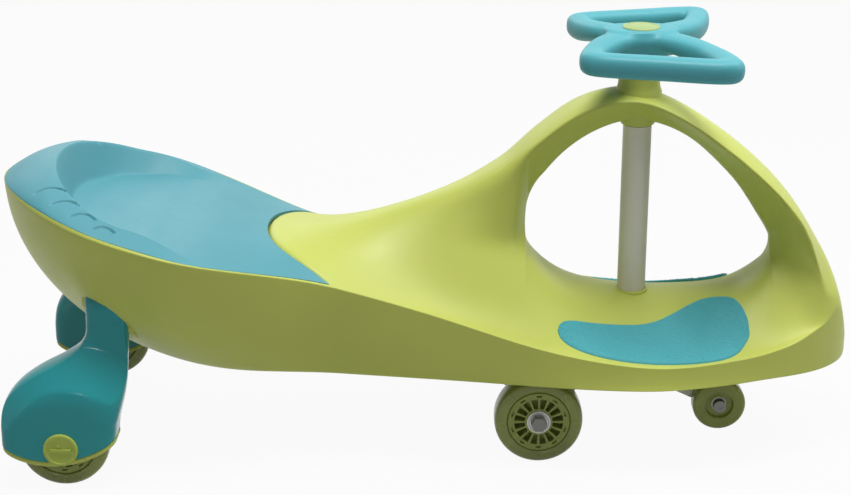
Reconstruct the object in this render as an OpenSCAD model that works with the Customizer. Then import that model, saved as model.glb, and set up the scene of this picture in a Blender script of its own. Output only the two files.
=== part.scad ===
// Ride-on wiggle car: a moulded body with a seat, a foot deck and a steering arch.
// Turning the steering wheel from side to side drives the trailing front wheels and moves the car.
// Frame: +X is the front, +Y is the left, +Z is up. The ground is z = 0. All sizes are in millimetres.

/* [Body plan] */
// Length of the body from tail to nose
body_length = 792; // [720:1:860]
// Width across the rim beside the seat
seat_width = 288; // [260:1:310]
// Width across the rim at the waist
waist_width = 186; // [160:1:210]
// Width across the rim at the foot deck
deck_width = 232; // [215:1:250]
// From the tail to the widest place of the seat
seat_from_tail = 150; // [130:1:170]
// From the tail to the waist
waist_from_tail = 310; // [290:1:330]
// From the nose back to the steering axis
column_from_nose = 206; // [195:1:220]

/* [Body heights above the underside] */
// Free height between the tops of the wheels and the underside
deck_gap = 5; // [4:0.5:12]
// Tail rim
tail_rise = 164; // [150:1:185]
// Rim beside the seat
seat_rise = 134; // [120:1:145]
// Rim at the foot deck
deck_rim_rise = 18; // [14:1:22]
// Crown of the foot deck at the steering column
deck_rise = 52.5; // [46:0.5:60]
// Saddle in front of the seat
saddle_rise = 121; // [112:1:130]
// Top of the arch
arch_rise = 249.5; // [240:0.5:270]

/* [Arch] */
// Opening under the arch, behind the steering axis
hole_back_reach = 102; // [90:1:110]
// Opening under the arch, ahead of the steering axis
hole_front_reach = 128; // [115:1:135]
// Depth of the arch beam at its top
arch_depth = 29; // [26:0.5:36]
// Width of the arch across its top edges
arch_width = 60; // [54:1:70]
// Width of the underside of the arch
arch_under_width = 24; // [22:1:40]
// Fall from the middle of the arch to its edges
arch_crown = 7; // [4:0.5:8]

/* [Seat] */
// Thickness of the seat panel
seat_wall = 3; // [2.5:0.1:4]
// Width of the body lip outside the seat panel
seat_lip = 4; // [3:0.5:6]
// Free gap round the seat panel
seat_gap = 0.6; // [0.4:0.1:0.9]
// Depth of the seat dish below its ridge
dish_depth = 33; // [24:1:36]
// Height of the ridge round the dish above the rim
ridge_rise = 20; // [12:1:24]
// From the rim in to the ridge, beside the seat
ledge_width = 26; // [20:1:34]
// How far the saddle tongue reaches back between the seat prongs
tongue_length = 65; // [50:1:75]

/* [Foot pads] */
// Thickness of the foot pads
pad_thickness = 2.6; // [2:0.1:4]
// Gap between pad and deck
pad_gap = 0.1; // [0.05:0.05:0.3]

/* [Wheels] */
// Radius of the four large wheels
wheel_radius = 41; // [38:0.5:44]
// Width of the large wheels
wheel_width = 28; // [24:0.5:30]
// Radius of the hub inside the tyre
hub_radius = 29; // [26:0.5:31]
// Number of windows in a hub
hub_windows = 16; // [8:1:18]
// Radius of the two small front wheels
tip_radius = 25; // [22:0.5:27]
// Width of the small front wheels
tip_width = 18; // [14:0.5:20]
// Height of the small front wheels above the ground
tip_lift = 12; // [8:0.5:15]
// Outer radius of the wheel bearings
bearing_radius = 11; // [10:0.5:12]
// Width of the wheel bearings
bearing_width = 7; // [6:0.5:8]
// Radius of the large wheels' axles
axle_radius = 4; // [3.5:0.1:4.5]
// Radius of the small wheels' axle
tip_axle_radius = 3; // [2.5:0.1:3.5]

/* [Steering] */
// Distance of the large front wheels behind the steering axis
trail = 91; // [80:1:96]
// Distance of the small front wheels ahead of the steering axis
lead = 83; // [76:1:90]
// From the middle plane to the middle of a large front wheel
front_track_half = 78; // [72:1:84]
// From the middle plane to the middle of a small front wheel
tip_track_half = 36; // [34:1:42]
// Radius of the steering shaft
shaft_radius = 6; // [5:0.5:7]
// Radius of the sleeve round the shaft
sleeve_radius = 13.2; // [11:0.1:15]
// Outer radius of the neck collar on the arch
collar_radius = 20; // [18:0.5:22]
// Radius of the collar's stem and of the bush's stem in the arch
stem_radius = 11; // [9:0.5:12]
// Height of the neck collar above the arch
collar_height = 12; // [9:0.5:16]
// Half width of the steering wheel to the middle of its grips
grip_reach = 97; // [88:1:104]
// Half length of a grip
grip_half = 56; // [48:1:60]
// How much further out the front ends of the grips stand
grip_splay = 14; // [6:0.5:16]
// Half thickness of a grip
grip_radius = 13; // [11:0.5:14]

/* [Rear arms] */
// From the tail to the rear axle
rear_axle_from_tail = 65; // [60:1:70]
// From the middle plane to the middle of a rear wheel
rear_track_half = 125.5; // [122:0.5:128]
// Free gap round a rear wheel in its fender
fender_gap = 3; // [2.5:0.1:4]
// Thickness of the fender's side walls
fender_wall = 7.5; // [6:0.5:9]
// Least height of the fender's trim band above the ground
fender_clear = 24; // [20:1:28]
// Height of the trim band below the fender's curved hem
band_height = 5; // [4:0.5:8]
// How much higher the hem is at the ends of the fender
hem_rise = 15; // [8:1:18]
// Radius of the axle cap
cap_radius = 15.6; // [13:0.1:17]
// Insertion of the arm's neck above the hull wall
neck_top = 99; // [92:1:104]
// Gap round the neck in its socket
socket_gap = 0.35; // [0.2:0.05:0.6]
// Width of the raised lip round the socket
socket_lip = 5; // [3:0.5:7]

/* [Fits] */
// Radial running clearance of a shaft in its bore
running = 0.05; // [0.02:0.01:0.09]
// Gap between pieces that are fixed to each other
fixed_gap = 0.05; // [0.02:0.01:0.1]
// End gap between pieces that turn against each other
end_gap = 0.4; // [0.3:0.05:0.8]

/* [Hidden] */
$fn = 48;
keel_z = 2 * wheel_radius + deck_gap;
tail_x = -body_length / 2;
nose_x = body_length / 2;
seat_x = tail_x + seat_from_tail;
waist_x = tail_x + waist_from_tail;
column_x = nose_x - column_from_nose;
deck_x = column_x + 9;
hole_back = column_x - hole_back_reach;
hole_front = column_x + hole_front_reach;
prong_x = waist_x - 2;
roof_rise = arch_rise - arch_depth;
back_tip_rise = roof_rise - 103;
front_tip_rise = roof_rise - 122;
drop = seat_wall + seat_gap;
bed_room = 7;
merge_x = nose_x - 16;
rear_axle_x = tail_x + rear_axle_from_tail;
front_axle_x = column_x - trail;
tip_axle_x = column_x + lead;
tip_z = tip_radius + tip_lift;
well_radius = wheel_radius + fender_gap;
well_in = rear_track_half - wheel_width / 2 - fender_gap;
well_out = rear_track_half + wheel_width / 2 + fender_gap;
fender_in = well_in - fender_wall;
fender_out = well_out + fender_wall;
arch_top_z = keel_z + arch_rise;
roof_z = keel_z + roof_rise;
crown_z = keel_z + deck_rise;
collar_top = arch_top_z + collar_height;
green = "#c3cb74";
teal = "#73b6c4";
gloss_teal = "#2f9198";
olive = "#5f6a26";
grey = "#a5a291";
pale = "#c9cbc8";
steel = "#b9bdc1";
lime = "#aab04b";

// Helpers: mixing, easing, rounded ends, and a smooth curve through a few points.
function mix(a, b, t) = a + (b - a) * t;
function unit(t) = max(0, min(1, t));
function ease(a, b, x) = let (u = unit((x - a) / (b - a))) u * u * (3 - 2 * u);
function tip(u, p, q = 0.5) = pow(max(0, 1 - pow(unit(u), p)), q);
function span_at(t, x, i = 0) = (i >= len(t) - 2 || x < t[i + 1][0]) ? i : span_at(t, x, i + 1);
function lean(t, i) = let (a = max(0, i - 1), b = min(len(t) - 1, i + 1))
  (t[b][1] - t[a][1]) / (t[b][0] - t[a][0]);
function curve(t, x) = let (
  i = span_at(t, x), h = t[i + 1][0] - t[i][0], u = unit((x - t[i][0]) / h),
  m = lean(t, i) * h, n = lean(t, i + 1) * h)
  (2 * u ^ 3 - 3 * u ^ 2 + 1) * t[i][1] + (u ^ 3 - 2 * u ^ 2 + u) * m
  + (3 * u ^ 2 - 2 * u ^ 3) * t[i + 1][1] + (u ^ 3 - u ^ 2) * n;
// A closed smooth outline through a few points, with n steps between neighbours.
function knot(p, i) = p[(i + len(p)) % len(p)];
function loop(p, n) = [for (i = [0:len(p) - 1], k = [0:n - 1]) let (u = k / n)
  0.5 * (2 * p[i] + (knot(p, i + 1) - knot(p, i - 1)) * u
  + (2 * knot(p, i - 1) - 5 * p[i] + 4 * knot(p, i + 1) - knot(p, i + 2)) * u ^ 2
  + (3 * p[i] - knot(p, i - 1) - 3 * knot(p, i + 1) + knot(p, i + 2)) * u ^ 3)];

// Lines of the body along its length.
function half_w(x) = x <= seat_x ? seat_width / 2 * tip((seat_x - x) / (seat_x - tail_x), 2.3, 0.69)
  : x <= waist_x ? mix(seat_width, waist_width, ease(seat_x, waist_x, x)) / 2
  : x <= deck_x ? mix(waist_width, deck_width, ease(waist_x, deck_x, x)) / 2
  : deck_width / 2 * tip((x - deck_x) / (nose_x - deck_x), 1.5);
tuck_line = [[tail_x, 0.1], [tail_x + 90, 0.27], [seat_x, 0.41], [waist_x, 0.84],
  [deck_x, 0.93], [nose_x, 0.93]];
function half_b(x) = half_w(x) * curve(tuck_line, x);
keel_x = tail_x + 240;
bow_x = nose_x - 16;
function keel(x) = keel_z
  + (tail_rise - 6) * (1 - tip((keel_x - x) / (keel_x - tail_x), 2.5))
  + 10 * (1 - tip((x - bow_x) / (nose_x - bow_x), 2.5));
rim_line = [[tail_x, tail_rise - 6], [tail_x + 16, tail_rise], [tail_x + 50, tail_rise - 3.5],
  [seat_x, seat_rise], [prong_x - 38, mix(deck_rim_rise, seat_rise, 0.69)],
  [hole_back - 89, mix(deck_rim_rise, seat_rise, 0.39)], [hole_back + 18, deck_rim_rise + 14],
  [deck_x, deck_rim_rise], [hole_front - 29, deck_rim_rise + 2], [hole_front, deck_rim_rise + 5.5],
  [nose_x - 57, deck_rim_rise + 10], [nose_x - 32, deck_rim_rise + 20], [nose_x - 23, deck_rim_rise + 26],
  [merge_x, deck_rim_rise + 39], [nose_x - 10, deck_rim_rise + 27], [nose_x - 3, deck_rim_rise + 1],
  [nose_x, 10]];
function rim(x) = keel_z + curve(rim_line, x);
crest_line = [[tail_x, tail_rise - 6], [tail_x + 18, tail_rise + 2], [tail_x + 56, tail_rise + 1],
  [seat_x, seat_rise + 5], [prong_x - tongue_length, saddle_rise - 5], [prong_x, saddle_rise],
  [hole_back - 118, saddle_rise + 13], [hole_back - 61, saddle_rise + 35], [hole_back - 24, arch_rise - 70],
  [hole_back + 12, arch_rise - 37], [hole_back + 48, arch_rise - 11], [column_x - 10, arch_rise],
  [column_x + 24, arch_rise - 8], [column_x + 75, arch_rise - 40], [hole_front + 7, arch_rise - 95],
  [nose_x - 29, arch_rise - 151], [nose_x - 10, 53], [nose_x, 10]];
function crest(x) = keel_z + curve(crest_line, x);

// The opening under the arch: its floor is the crown of the deck, its roof is the underside of the arch.
floor_line = [[hole_back, deck_rise + 9], [hole_back + 56, deck_rise + 7], [column_x, deck_rise],
  [column_x + 44, deck_rise + 1], [hole_front - 34, deck_rise + 6], [hole_front, deck_rise + 10]];
function floor_at(x) = let (
  b = curve(floor_line, x), u = unit((x - hole_back) / 60), v = unit((hole_front - x) / 40))
  keel_z + (u < 1 ? mix(back_tip_rise, b, sqrt(1 - pow(1 - u, 2.2)))
  : mix(front_tip_rise, b, sqrt(1 - pow(1 - v, 2.2))));
peak_x = column_x - 6;
function roof_at(x) = let (
  u = unit((x - hole_back) / (peak_x - hole_back)), v = unit((hole_front - x) / (hole_front - peak_x)))
  keel_z + (x < peak_x ? mix(back_tip_rise, roof_rise, sqrt(1 - pow(1 - u, 1.55)))
  : mix(front_tip_rise, roof_rise, pow(1 - pow(1 - v, 2), 0.87)));
function in_hole(x) = x >= hole_back && x <= hole_front;
function inside_hole(x) = x > hole_back && x < hole_front;

// The top of the seat and saddle, from the middle (s = 0) to the rim (s = 1).
// A ledge climbs from the rim to a ridge, and a steep wall drops from the ridge to the floor of the dish.
ridge_line = [[tail_x, 0], [tail_x + 20, 0.95], [tail_x + 50, 1], [tail_x + 66, 0.85], [tail_x + 86, 0.675],
  [tail_x + 107, 0.575], [seat_x - 20, 0.525], [seat_x - 8, 0.485], [seat_x + 4, 0.385], [seat_x + 15, 0.26],
  [seat_x + 38, 0.025], [seat_x + 52, 0]];
dish_line = [[tail_x + 50, 1], [tail_x + 76, 0.97], [tail_x + 96, 0.77], [seat_x - 24, 0.56], [seat_x, 0.36],
  [seat_x + 26, 0.12], [seat_x + 41, 0]];
dish_x0 = tail_x + 50;
dish_xc = seat_x - 10;
function dish_half(x) = mix(seat_width / 2 - ledge_width, half_w(x), ease(dish_xc, seat_x + 96, x));
// Under 1 inside the ridge of the dish, over 1 outside it.
function dish_place(x, y) = pow(max(0, dish_xc - x) / (dish_xc - dish_x0), 2.3) + pow(y / dish_half(x), 2);
// Rises to 1 at the rim.
function rim_place(x, y) = min(1, x < seat_x
  ? pow(unit((seat_x - x) / seat_from_tail), 2.3) + pow(2 * y / seat_width, 1 / 0.69)
  : pow(y / max(1, half_w(x)), 1.6));
function slope_at(a, b, x) = let (u = unit((x - a) / (b - a)), r = 0.16)
  (u < r ? u * u / (2 * r) : u > 1 - r ? 1 - r - pow(1 - u, 2) / (2 * r) : u - r / 2) / (1 - r);
function bell(s) = 0.5 + 0.5 * cos(180 * s);
function dome(x, s) = mix(1 - s * s, bell(s), ease(seat_x + 96, hole_back - 60, x));
function seat_at(x, s) = let (y = s * half_w(x), q = dish_place(x, y), p = rim_place(x, y),
  climb = q <= 1 ? 1 : (1 - p) / max(0.000001, q - p),
  bowl = q >= 1 ? 0 : 0.86 * (1 - slope_at(0.62, 1, q)) + 0.14 * (1 - q))
  rim(x) + ridge_rise * curve(ridge_line, x) * climb - dish_depth * max(0, curve(dish_line, x)) * bowl;
function top_at(x, s) = let (
  plain = mix(rim(x), crest(x), dome(x, s)), share = 1 - ease(seat_x, seat_x + 60, x))
  share == 0 ? plain : mix(plain, seat_at(x, s), share);
// Cross lines of the top bow backwards, so that one of them is the front edge of the seat panel.
function bow(x) = tongue_length
  * (x < prong_x ? ease(tail_x, prong_x, x) : 1 - ease(prong_x, prong_x + 150, x));
function top_point(x, s) = let (t = x - bow(x) * (1 - pow(s, 2.2))) [t, s * half_w(t), top_at(t, s)];

// Sections of the arch, its legs and the deck.
wide_line = [[hole_back - 28, 0.92], [hole_back, 1], [column_x, 1], [column_x + 65, 1.17],
  [hole_front - 18, 1.3], [hole_front + 18, 1.4], [nose_x - 28, 1.2], [nose_x, 0]];
// At the nose the edges of the front leg run down to the rim and meet it.
function nose_in(x) = ease(hole_front + 37, merge_x, x);
function edge_z(x) = mix(crest(x) - arch_crown * mix(1, 0.6, ease(column_x, column_x + 70, x)),
  rim(x), pow(nose_in(x), 2));
function arch_half(x) = min(arch_width / 2 * curve(wide_line, x), mix(0.8, 1, nose_in(x)) * half_w(x));
function waist_half(x) = in_hole(x) ? 0 : x < hole_back
  ? 46 * pow(max(0, 1 - pow(unit((x - hole_back + 54) / 54), 3)), 1 / 3)
  : mix(0.62 * half_w(x) * pow(max(0, 1 - pow(1 - unit((x - hole_front) / 50), 3)), 1 / 3),
  arch_half(x), nose_in(x));
// The crown under the deck rows changes slowly; only the rows near the middle follow the edge of the opening.
function crown_at(x) = let (b = keel_z + curve(floor_line, x)) x < column_x
  ? mix(crest(x), b, ease(hole_back - 88, hole_back + 56, x))
  : mix(b, crest(x), ease(hole_front - 45, nose_x - 6, x));
function deck_at(x, s) = mix(rim(x), mix(floor_at(x), crown_at(x), ease(0, 0.5, s)), bell(s));
function deck_soft(x, s) = let (d = 14 * ease(0, 0.35, s)) (deck_at(x - 2 * d, s) + deck_at(x + 2 * d, s)
  + 2 * deck_at(x - d, s) + 2 * deck_at(x + d, s) + 3 * deck_at(x, s)) / 9;
function waist_s(x) = waist_half(x) / max(1, half_w(x));
function waist_z(x) = mix(deck_soft(x, waist_s(x)), edge_z(x), x < hole_front ? 0 : nose_in(x));
function arch_deck(x, t) = let (s0 = waist_s(x), s = 1 - (1 - s0) * t)
  [x, s * half_w(x), deck_soft(x, s) + (waist_z(x) - deck_soft(x, s0)) * t * t];
steps = [0.14, 0.3, 0.46, 0.62, 0.8, 1];
side_s = [0.87, 0.78, 0.69, 0.6, 0.52, 0.44, 0.44, 0.35, 0.26, 0.17, 0.085, 0];
function arch_row(x, k) = k < 6 ? arch_deck(x, steps[k]) : let (
  y0 = waist_half(x), z0 = in_hole(x) ? roof_at(x) : waist_z(x), ya = arch_half(x), za = edge_z(x),
  g = in_hole(x) ? ease(0, 16, min(x - hole_back, hole_front - x)) : 0,
  yc = mix(y0 + 0.3 * (ya - y0), arch_under_width / 2, g), zc = mix(z0 + 0.3 * (za - z0), z0 + 1, g))
  k == 6 ? [x, y0, z0] : k == 7 ? [x, yc, zc] : k == 8 ? [x, mix(yc, ya, 0.5), mix(zc, za, 0.5)]
  : k == 9 ? [x, ya, za] : k == 10 ? [x, 0.52 * ya, mix(za, crest(x), 0.75)] : [x, 0, crest(x)];
function to_arch(x) = ease(hole_back - 88, hole_back - 26, x);
function upper_row(x, k) = mix(top_point(x, side_s[k]), arch_row(x, k), to_arch(x));
function lip_s(x, n) = 1 - min(0.3, n * seat_lip / max(1, half_w(x)));
function lip_row(x, n) = mix(top_point(x, lip_s(x, seated(x) ? 1 : n)), arch_deck(x, 0.045 * n), to_arch(x));
function side_wall(x, t) = [x, mix(half_b(x), half_w(x), 0.5 * t + 0.5 * sin(90 * t)),
  mix(keel(x), rim(x), 0.5 * t + 0.5 * (1 - cos(90 * t)))];
function seated(x) = x > tail_x + seat_lip && x <= prong_x;
function row(x, j) = let (d = seated(x) ? [0, 0, j == 8 ? drop : drop + bed_room] : [0, 0, 0])
  j < 2 ? [x, 0.6 * j * half_b(x), keel(x)] : j < 7 ? side_wall(x, [0, 0.3, 0.6, 0.92, 1][j - 2])
  : j == 7 ? lip_row(x, 1) : j == 8 ? lip_row(x, 2) - d : upper_row(x, j - 9) - d;
W = 14;
U = 15;
T = 20;

// Places of the cross lines: closer where the surface turns quickly.
function run(a, b, n, p = 1) = [for (k = [0:n - 1]) mix(a, b, pow(k / n, p))];
function back(a, b, n, p) = [for (k = [n - 1:-1:0]) mix(b, a, pow(k / n, p))];
stations = concat([tail_x, tail_x + 0.9, tail_x + 2.5, tail_x + seat_lip - 0.3],
  run(tail_x + seat_lip + 0.3, seat_x - 45, 8, 1.6), run(seat_x - 45, prong_x, 13), [prong_x, prong_x + 0.5],
  run(prong_x + 12, hole_back - 34, 8), back(hole_back - 34, hole_back, 6, 2),
  run(hole_back + 0.6, column_x - 40, 8, 1.8), run(column_x - 40, hole_front - 52, 7),
  back(hole_front - 52, hole_front, 8, 1.8), run(hole_front + 0.6, nose_x - 44, 6, 1.7),
  run(nose_x - 44, merge_x, 6), [merge_x], back(merge_x, nose_x, 5, 1.7));
last = len(stations) - 1;
stride = 2 * (T + 1);
function slot(i, j, side) = let (x = stations[i],
  r = (x >= merge_x && j > 6 && j < T - 1) ? 6 : (j == U && !inside_hole(x)) ? W : j)
  (i == 0 || i == last) ? i * stride
  : i * stride + r + ((r == 0 || r == T || ((r == W || r == U) && in_hole(x))) ? 0 : side * (T + 1));
function two(a, b, c, d) = [for (f = [[a, b, c], [a, c, d]])
  if (f[0] != f[1] && f[1] != f[2] && f[0] != f[2]) f];
hull_points = [for (i = [0:last], side = [-1, 1], j = [0:T]) let (p = row(stations[i], j))
  [p[0], side * p[1], p[2]]];
hull_faces = [for (i = [0:last - 1], side = [0, 1], j = [0:T - 1]) if (j != W)
  each side == 1 ? two(slot(i, j, 1), slot(i + 1, j, 1), slot(i + 1, j + 1, 1), slot(i, j + 1, 1))
  : two(slot(i, j, 0), slot(i, j + 1, 0), slot(i + 1, j + 1, 0), slot(i + 1, j, 0))];

// General solids: a slab between two grids, a skin over rings, and a closed sweep.
module slab(b, a) {
  n = len(a); m = len(a[0]); o = n * m; e = (n - 1) * m;
  polyhedron(points = concat([for (r = a) each r], [for (r = b) each r]), faces = concat(
    [for (i = [0:n - 2], j = [0:m - 2]) let (k = i * m + j) each two(k, k + 1, k + m + 1, k + m)],
    [for (i = [0:n - 2], j = [0:m - 2]) let (k = o + i * m + j) each two(k, k + m, k + m + 1, k + 1)],
    [for (i = [0:n - 2]) let (k = i * m) each two(k, k + m, o + k + m, o + k)],
    [for (i = [1:n - 1]) let (k = i * m - 1) each two(k + m, k, o + k, o + k + m)],
    [for (j = [0:m - 2]) each two(j + 1, j, o + j, o + j + 1)],
    [for (j = [0:m - 2]) each two(e + j, e + j + 1, o + e + j + 1, o + e + j)]));
}
module skin(rings) {
  n = len(rings); m = len(rings[0]);
  polyhedron(points = [for (r = rings) each r], faces = concat(
    [[for (k = [0:m - 1]) k]], [[for (k = [m - 1:-1:0]) (n - 1) * m + k]],
    [for (i = [0:n - 2], k = [0:m - 1]) let (q = (k + 1) % m)
      each two(i * m + k, (i + 1) * m + k, (i + 1) * m + q, i * m + q)]));
}
module closed_sweep(rings) {
  n = len(rings); m = len(rings[0]);
  polyhedron(points = [for (r = rings) each r], faces = [for (i = [0:n - 1], k = [0:m - 1])
    let (q = (k + 1) % m, j = (i + 1) % n) each two(i * m + k, i * m + q, j * m + q, j * m + k)]);
}
module rod(r, y0, y1) translate([0, y0, 0]) rotate([-90, 0, 0]) cylinder(r = r, h = y1 - y0);
module ring(r, hole, y0, y1) difference() { rod(r, y0, y1); rod(hole, y0 - 1, y1 + 1); }
module post(r, z0, z1) translate([0, 0, z0]) cylinder(r = r, h = z1 - z0);
module tube(r, hole, z0, z1) difference() { post(r, z0, z1); post(hole, z0 - 1, z1 + 1); }
module both() { children(); mirror([0, 1, 0]) children(); }
module sided(right) { if (right) mirror([0, 1, 0]) children(); else children(); }

// Rear arm: sections at rising heights, as [height, rear end, front end, inner side, outer side].
arm_z = fender_clear + band_height;
neck_x0 = rear_axle_x + 21.5;
neck_x1 = rear_axle_x + 59;
arm_rings = [
  [fender_clear - 1, rear_axle_x - 52, rear_axle_x + 47.5, fender_in, fender_out],
  [arm_z + 13, rear_axle_x - 53, rear_axle_x + 48.5, fender_in, fender_out],
  [wheel_radius + 20, rear_axle_x - 53.5, rear_axle_x + 50, fender_in, fender_out],
  [wheel_radius + 34, rear_axle_x - 52.5, rear_axle_x + 53.5, fender_in, fender_out],
  [wheel_radius + 46, rear_axle_x - 48, rear_axle_x + 56.5, fender_in - 0.5, fender_out - 1],
  [wheel_radius + 58, rear_axle_x - 39, rear_axle_x + 58.5, fender_in - 3, fender_out - 5],
  [wheel_radius + 68, rear_axle_x - 28, rear_axle_x + 59, fender_in - 6, fender_out - 11],
  [wheel_radius + 77, rear_axle_x - 11, neck_x1, fender_in - 9, fender_out - 18],
  [wheel_radius + 86, rear_axle_x + 9, neck_x1, fender_in - 11.5, fender_out - 25],
  [wheel_radius + 95, rear_axle_x + 18.5, neck_x1, fender_in - 13.5, fender_out - 30],
  [keel_z + 63, neck_x0, neck_x1, fender_in - 15, fender_out - 33],
  [keel_z + neck_top, neck_x0, neck_x1, fender_in - 15, fender_out - 33]];
function oval(r, grow, n, p) = [for (k = [0:n - 1]) let (a = 360 * k / n, c = cos(a), s = sin(a)) [
  (r[1] + r[2]) / 2 + ((r[2] - r[1]) / 2 + grow) * sign(c) * pow(abs(c), 2 / p),
  (r[3] + r[4]) / 2 + ((r[4] - r[3]) / 2 + grow) * sign(s) * pow(abs(s), 2 / p)]];
function boxy(z) = mix(5, 3.4, ease(wheel_radius + 40, wheel_radius + 90, z));
// The outer side is a flat panel with an arched top edge; above that edge the surface leans inwards.
panel_radius = wheel_radius + 11.5;
function panel_y(x, z) = fender_out - 0.9 * (1 - ease(arm_z + 83, arm_z + 111, z))
  * max(0, norm([x - rear_axle_x - 6, max(0, z - wheel_radius)]) - panel_radius);
function hem(x) = arm_z + hem_rise * pow((x - rear_axle_x + 8) / 50, 2);
hem_line = [for (k = [-8:8]) let (x = rear_axle_x + 8.5 * k) [x, hem(x)]];
// A prism across the arm, between two lines that follow the hem.
module under_hem(top, low) translate([0, fender_out + 20, 0]) rotate([90, 0, 0]) linear_extrude(height = 100)
  polygon(concat([for (p = hem_line) p + [0, top]],
    [for (k = [len(hem_line) - 1:-1:0]) [hem_line[k][0], max(hem_line[k][1] + low, low < -20 ? 0 : -100)]]));
function ring_at(r, grow, z) = [for (p = oval(r, grow, 28, boxy(z)))
  [p[0], min(p[1], panel_y(p[0], z) + grow), z]];
neck_ring = arm_rings[len(arm_rings) - 1];
lip_slope = [-0.62, 0.65];
lip_low = keel_z + 61;
function lip_ring(up, grow) = [for (p = oval(neck_ring, grow, 28, 3.4))
  [p[0], p[1], lip_low + up + lip_slope * (p - [neck_x0, neck_ring[3]])]];
neck_y = (neck_ring[3] + neck_ring[4]) / 2;
screw_spots = [[neck_x0 + 10, neck_y], [neck_x1 - 10, neck_y]];
neck_z = keel_z + neck_top;
socket_z = neck_z + socket_gap;
head_z = socket_z + 6;
flange_z = roof_z - 1;

module body_shell() color(green) difference() {
  union() {
    polyhedron(points = hull_points, faces = hull_faces);
    both() skin([lip_ring(0, socket_lip), lip_ring(8, socket_lip), lip_ring(34, -5)]);
    translate([column_x, 0, 0]) {
      post(sleeve_radius + 3, flange_z - 1, roof_z + 20);
      translate([0, 0, arch_top_z - 11.5])
        cylinder(r1 = collar_radius + 6, r2 = collar_radius + 1, h = 12 - fixed_gap);
    }
  }
  both() skin(concat([for (i = [7:len(arm_rings) - 2]) ring_at(arm_rings[i], socket_gap, arm_rings[i][0])],
    [ring_at(neck_ring, socket_gap, socket_z)]));
  both() for (p = screw_spots) translate([p[0], p[1], 0]) {
    post(2.5 + fixed_gap, socket_z - 1, head_z + 1);
    post(5.5, head_z, keel_z + tail_rise);
  }
  translate([column_x, 0, 0]) {
    post(stem_radius, roof_z - 30, arch_top_z + 30);
    post(sleeve_radius + 3 + socket_gap, roof_z - 30, flange_z + fixed_gap);
    post(sleeve_radius - 1, keel_z - 5, crown_z + 30);
    post(sleeve_radius + 4 + socket_gap, crown_z + 0.8 - fixed_gap, crown_z + 30);
  }
}

// The seat panel: a dished skin whose edge sits inside the body's lip, with two prongs beside the tongue.
seat_x0 = tail_x + seat_lip + 0.3 + seat_gap;
seat_lines = concat(run(seat_x0, seat_x - 45, 12, 1.3), run(seat_x - 45, prong_x - seat_gap, 12),
  [prong_x - seat_gap]);
seat_rows = [1, 0.93, 0.87, 0.82, 0.77, 0.72, 0.67, 0.59, 0.5, 0.4, 0.3, 0.2, 0.1, 0];
function seat_point(x, f) = let (e = 1 - (seat_lip + seat_gap) / half_w(x)) top_point(x, e * abs(f));
seat_across = concat(seat_rows, [for (k = [len(seat_rows) - 2:-1:0]) -seat_rows[k]]);
function seat_grid(down) = [for (x = seat_lines) [for (f = seat_across)
  let (p = seat_point(x, f)) [p[0], f < 0 ? -p[1] : p[1], p[2] - down]]];
module seat_panel() color(teal) slab(seat_grid(0), seat_grid(seat_wall));

// A foot pad: the deck surface lifted by a little, cut to a bean-shaped outline.
pad_shape = loop([[-75, 74], [-70, 65], [-58, 61.5], [-30, 59.5], [0, 57], [18, 52], [34, 43],
  [50, 33], [64, 26], [78, 25], [90, 30], [98, 41], [103, 55], [103.5, 68], [99, 82], [88, 95],
  [66, 102.5], [36, 106.5], [5, 108.5], [-26, 106], [-50, 100], [-66, 91.5], [-74, 82]], 3);
pad_lines = [for (x = stations) if (x > column_x - 92 && x < column_x + 120) x];
function pad_grid(up) = [for (x = pad_lines) [for (j = [7:W]) row(x, j) + [0, 0, up]]];
module pad() intersection() {
  slab(pad_grid(pad_gap + pad_thickness), pad_grid(pad_gap));
  translate([column_x, 0, keel_z]) linear_extrude(height = deck_rise + 40) polygon(pad_shape);
}
module foot_pad_right() color(teal) sided(true) pad();
module foot_pad_left() color(teal) sided(false) pad();

// Bushes that line the steering bores of the body.
bush_bore = shaft_radius + running;
module neck_collar() color(green) translate([column_x, 0, 0]) difference() {
  union() {
    post(collar_radius, arch_top_z + 0.5, collar_top);
    post(stem_radius - fixed_gap, roof_z + 14, arch_top_z + 1);
  }
  post(bush_bore, roof_z, collar_top + 1);
}
module arch_bush() color(green) translate([column_x, 0, 0]) difference() {
  union() {
    post(sleeve_radius + 3, roof_z - 6, flange_z);
    post(stem_radius - fixed_gap, roof_z - 3, roof_z + 13.5);
  }
  post(bush_bore, roof_z - 10, roof_z + 20);
}
module deck_bush() color(green) translate([column_x, 0, 0]) difference() {
  union() {
    post(sleeve_radius + 4, crown_z + 0.8, crown_z + 3);
    post(sleeve_radius - 1 - fixed_gap, keel_z, crown_z + 1);
  }
  post(bush_bore, keel_z - 1, crown_z + 5);
}

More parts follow.
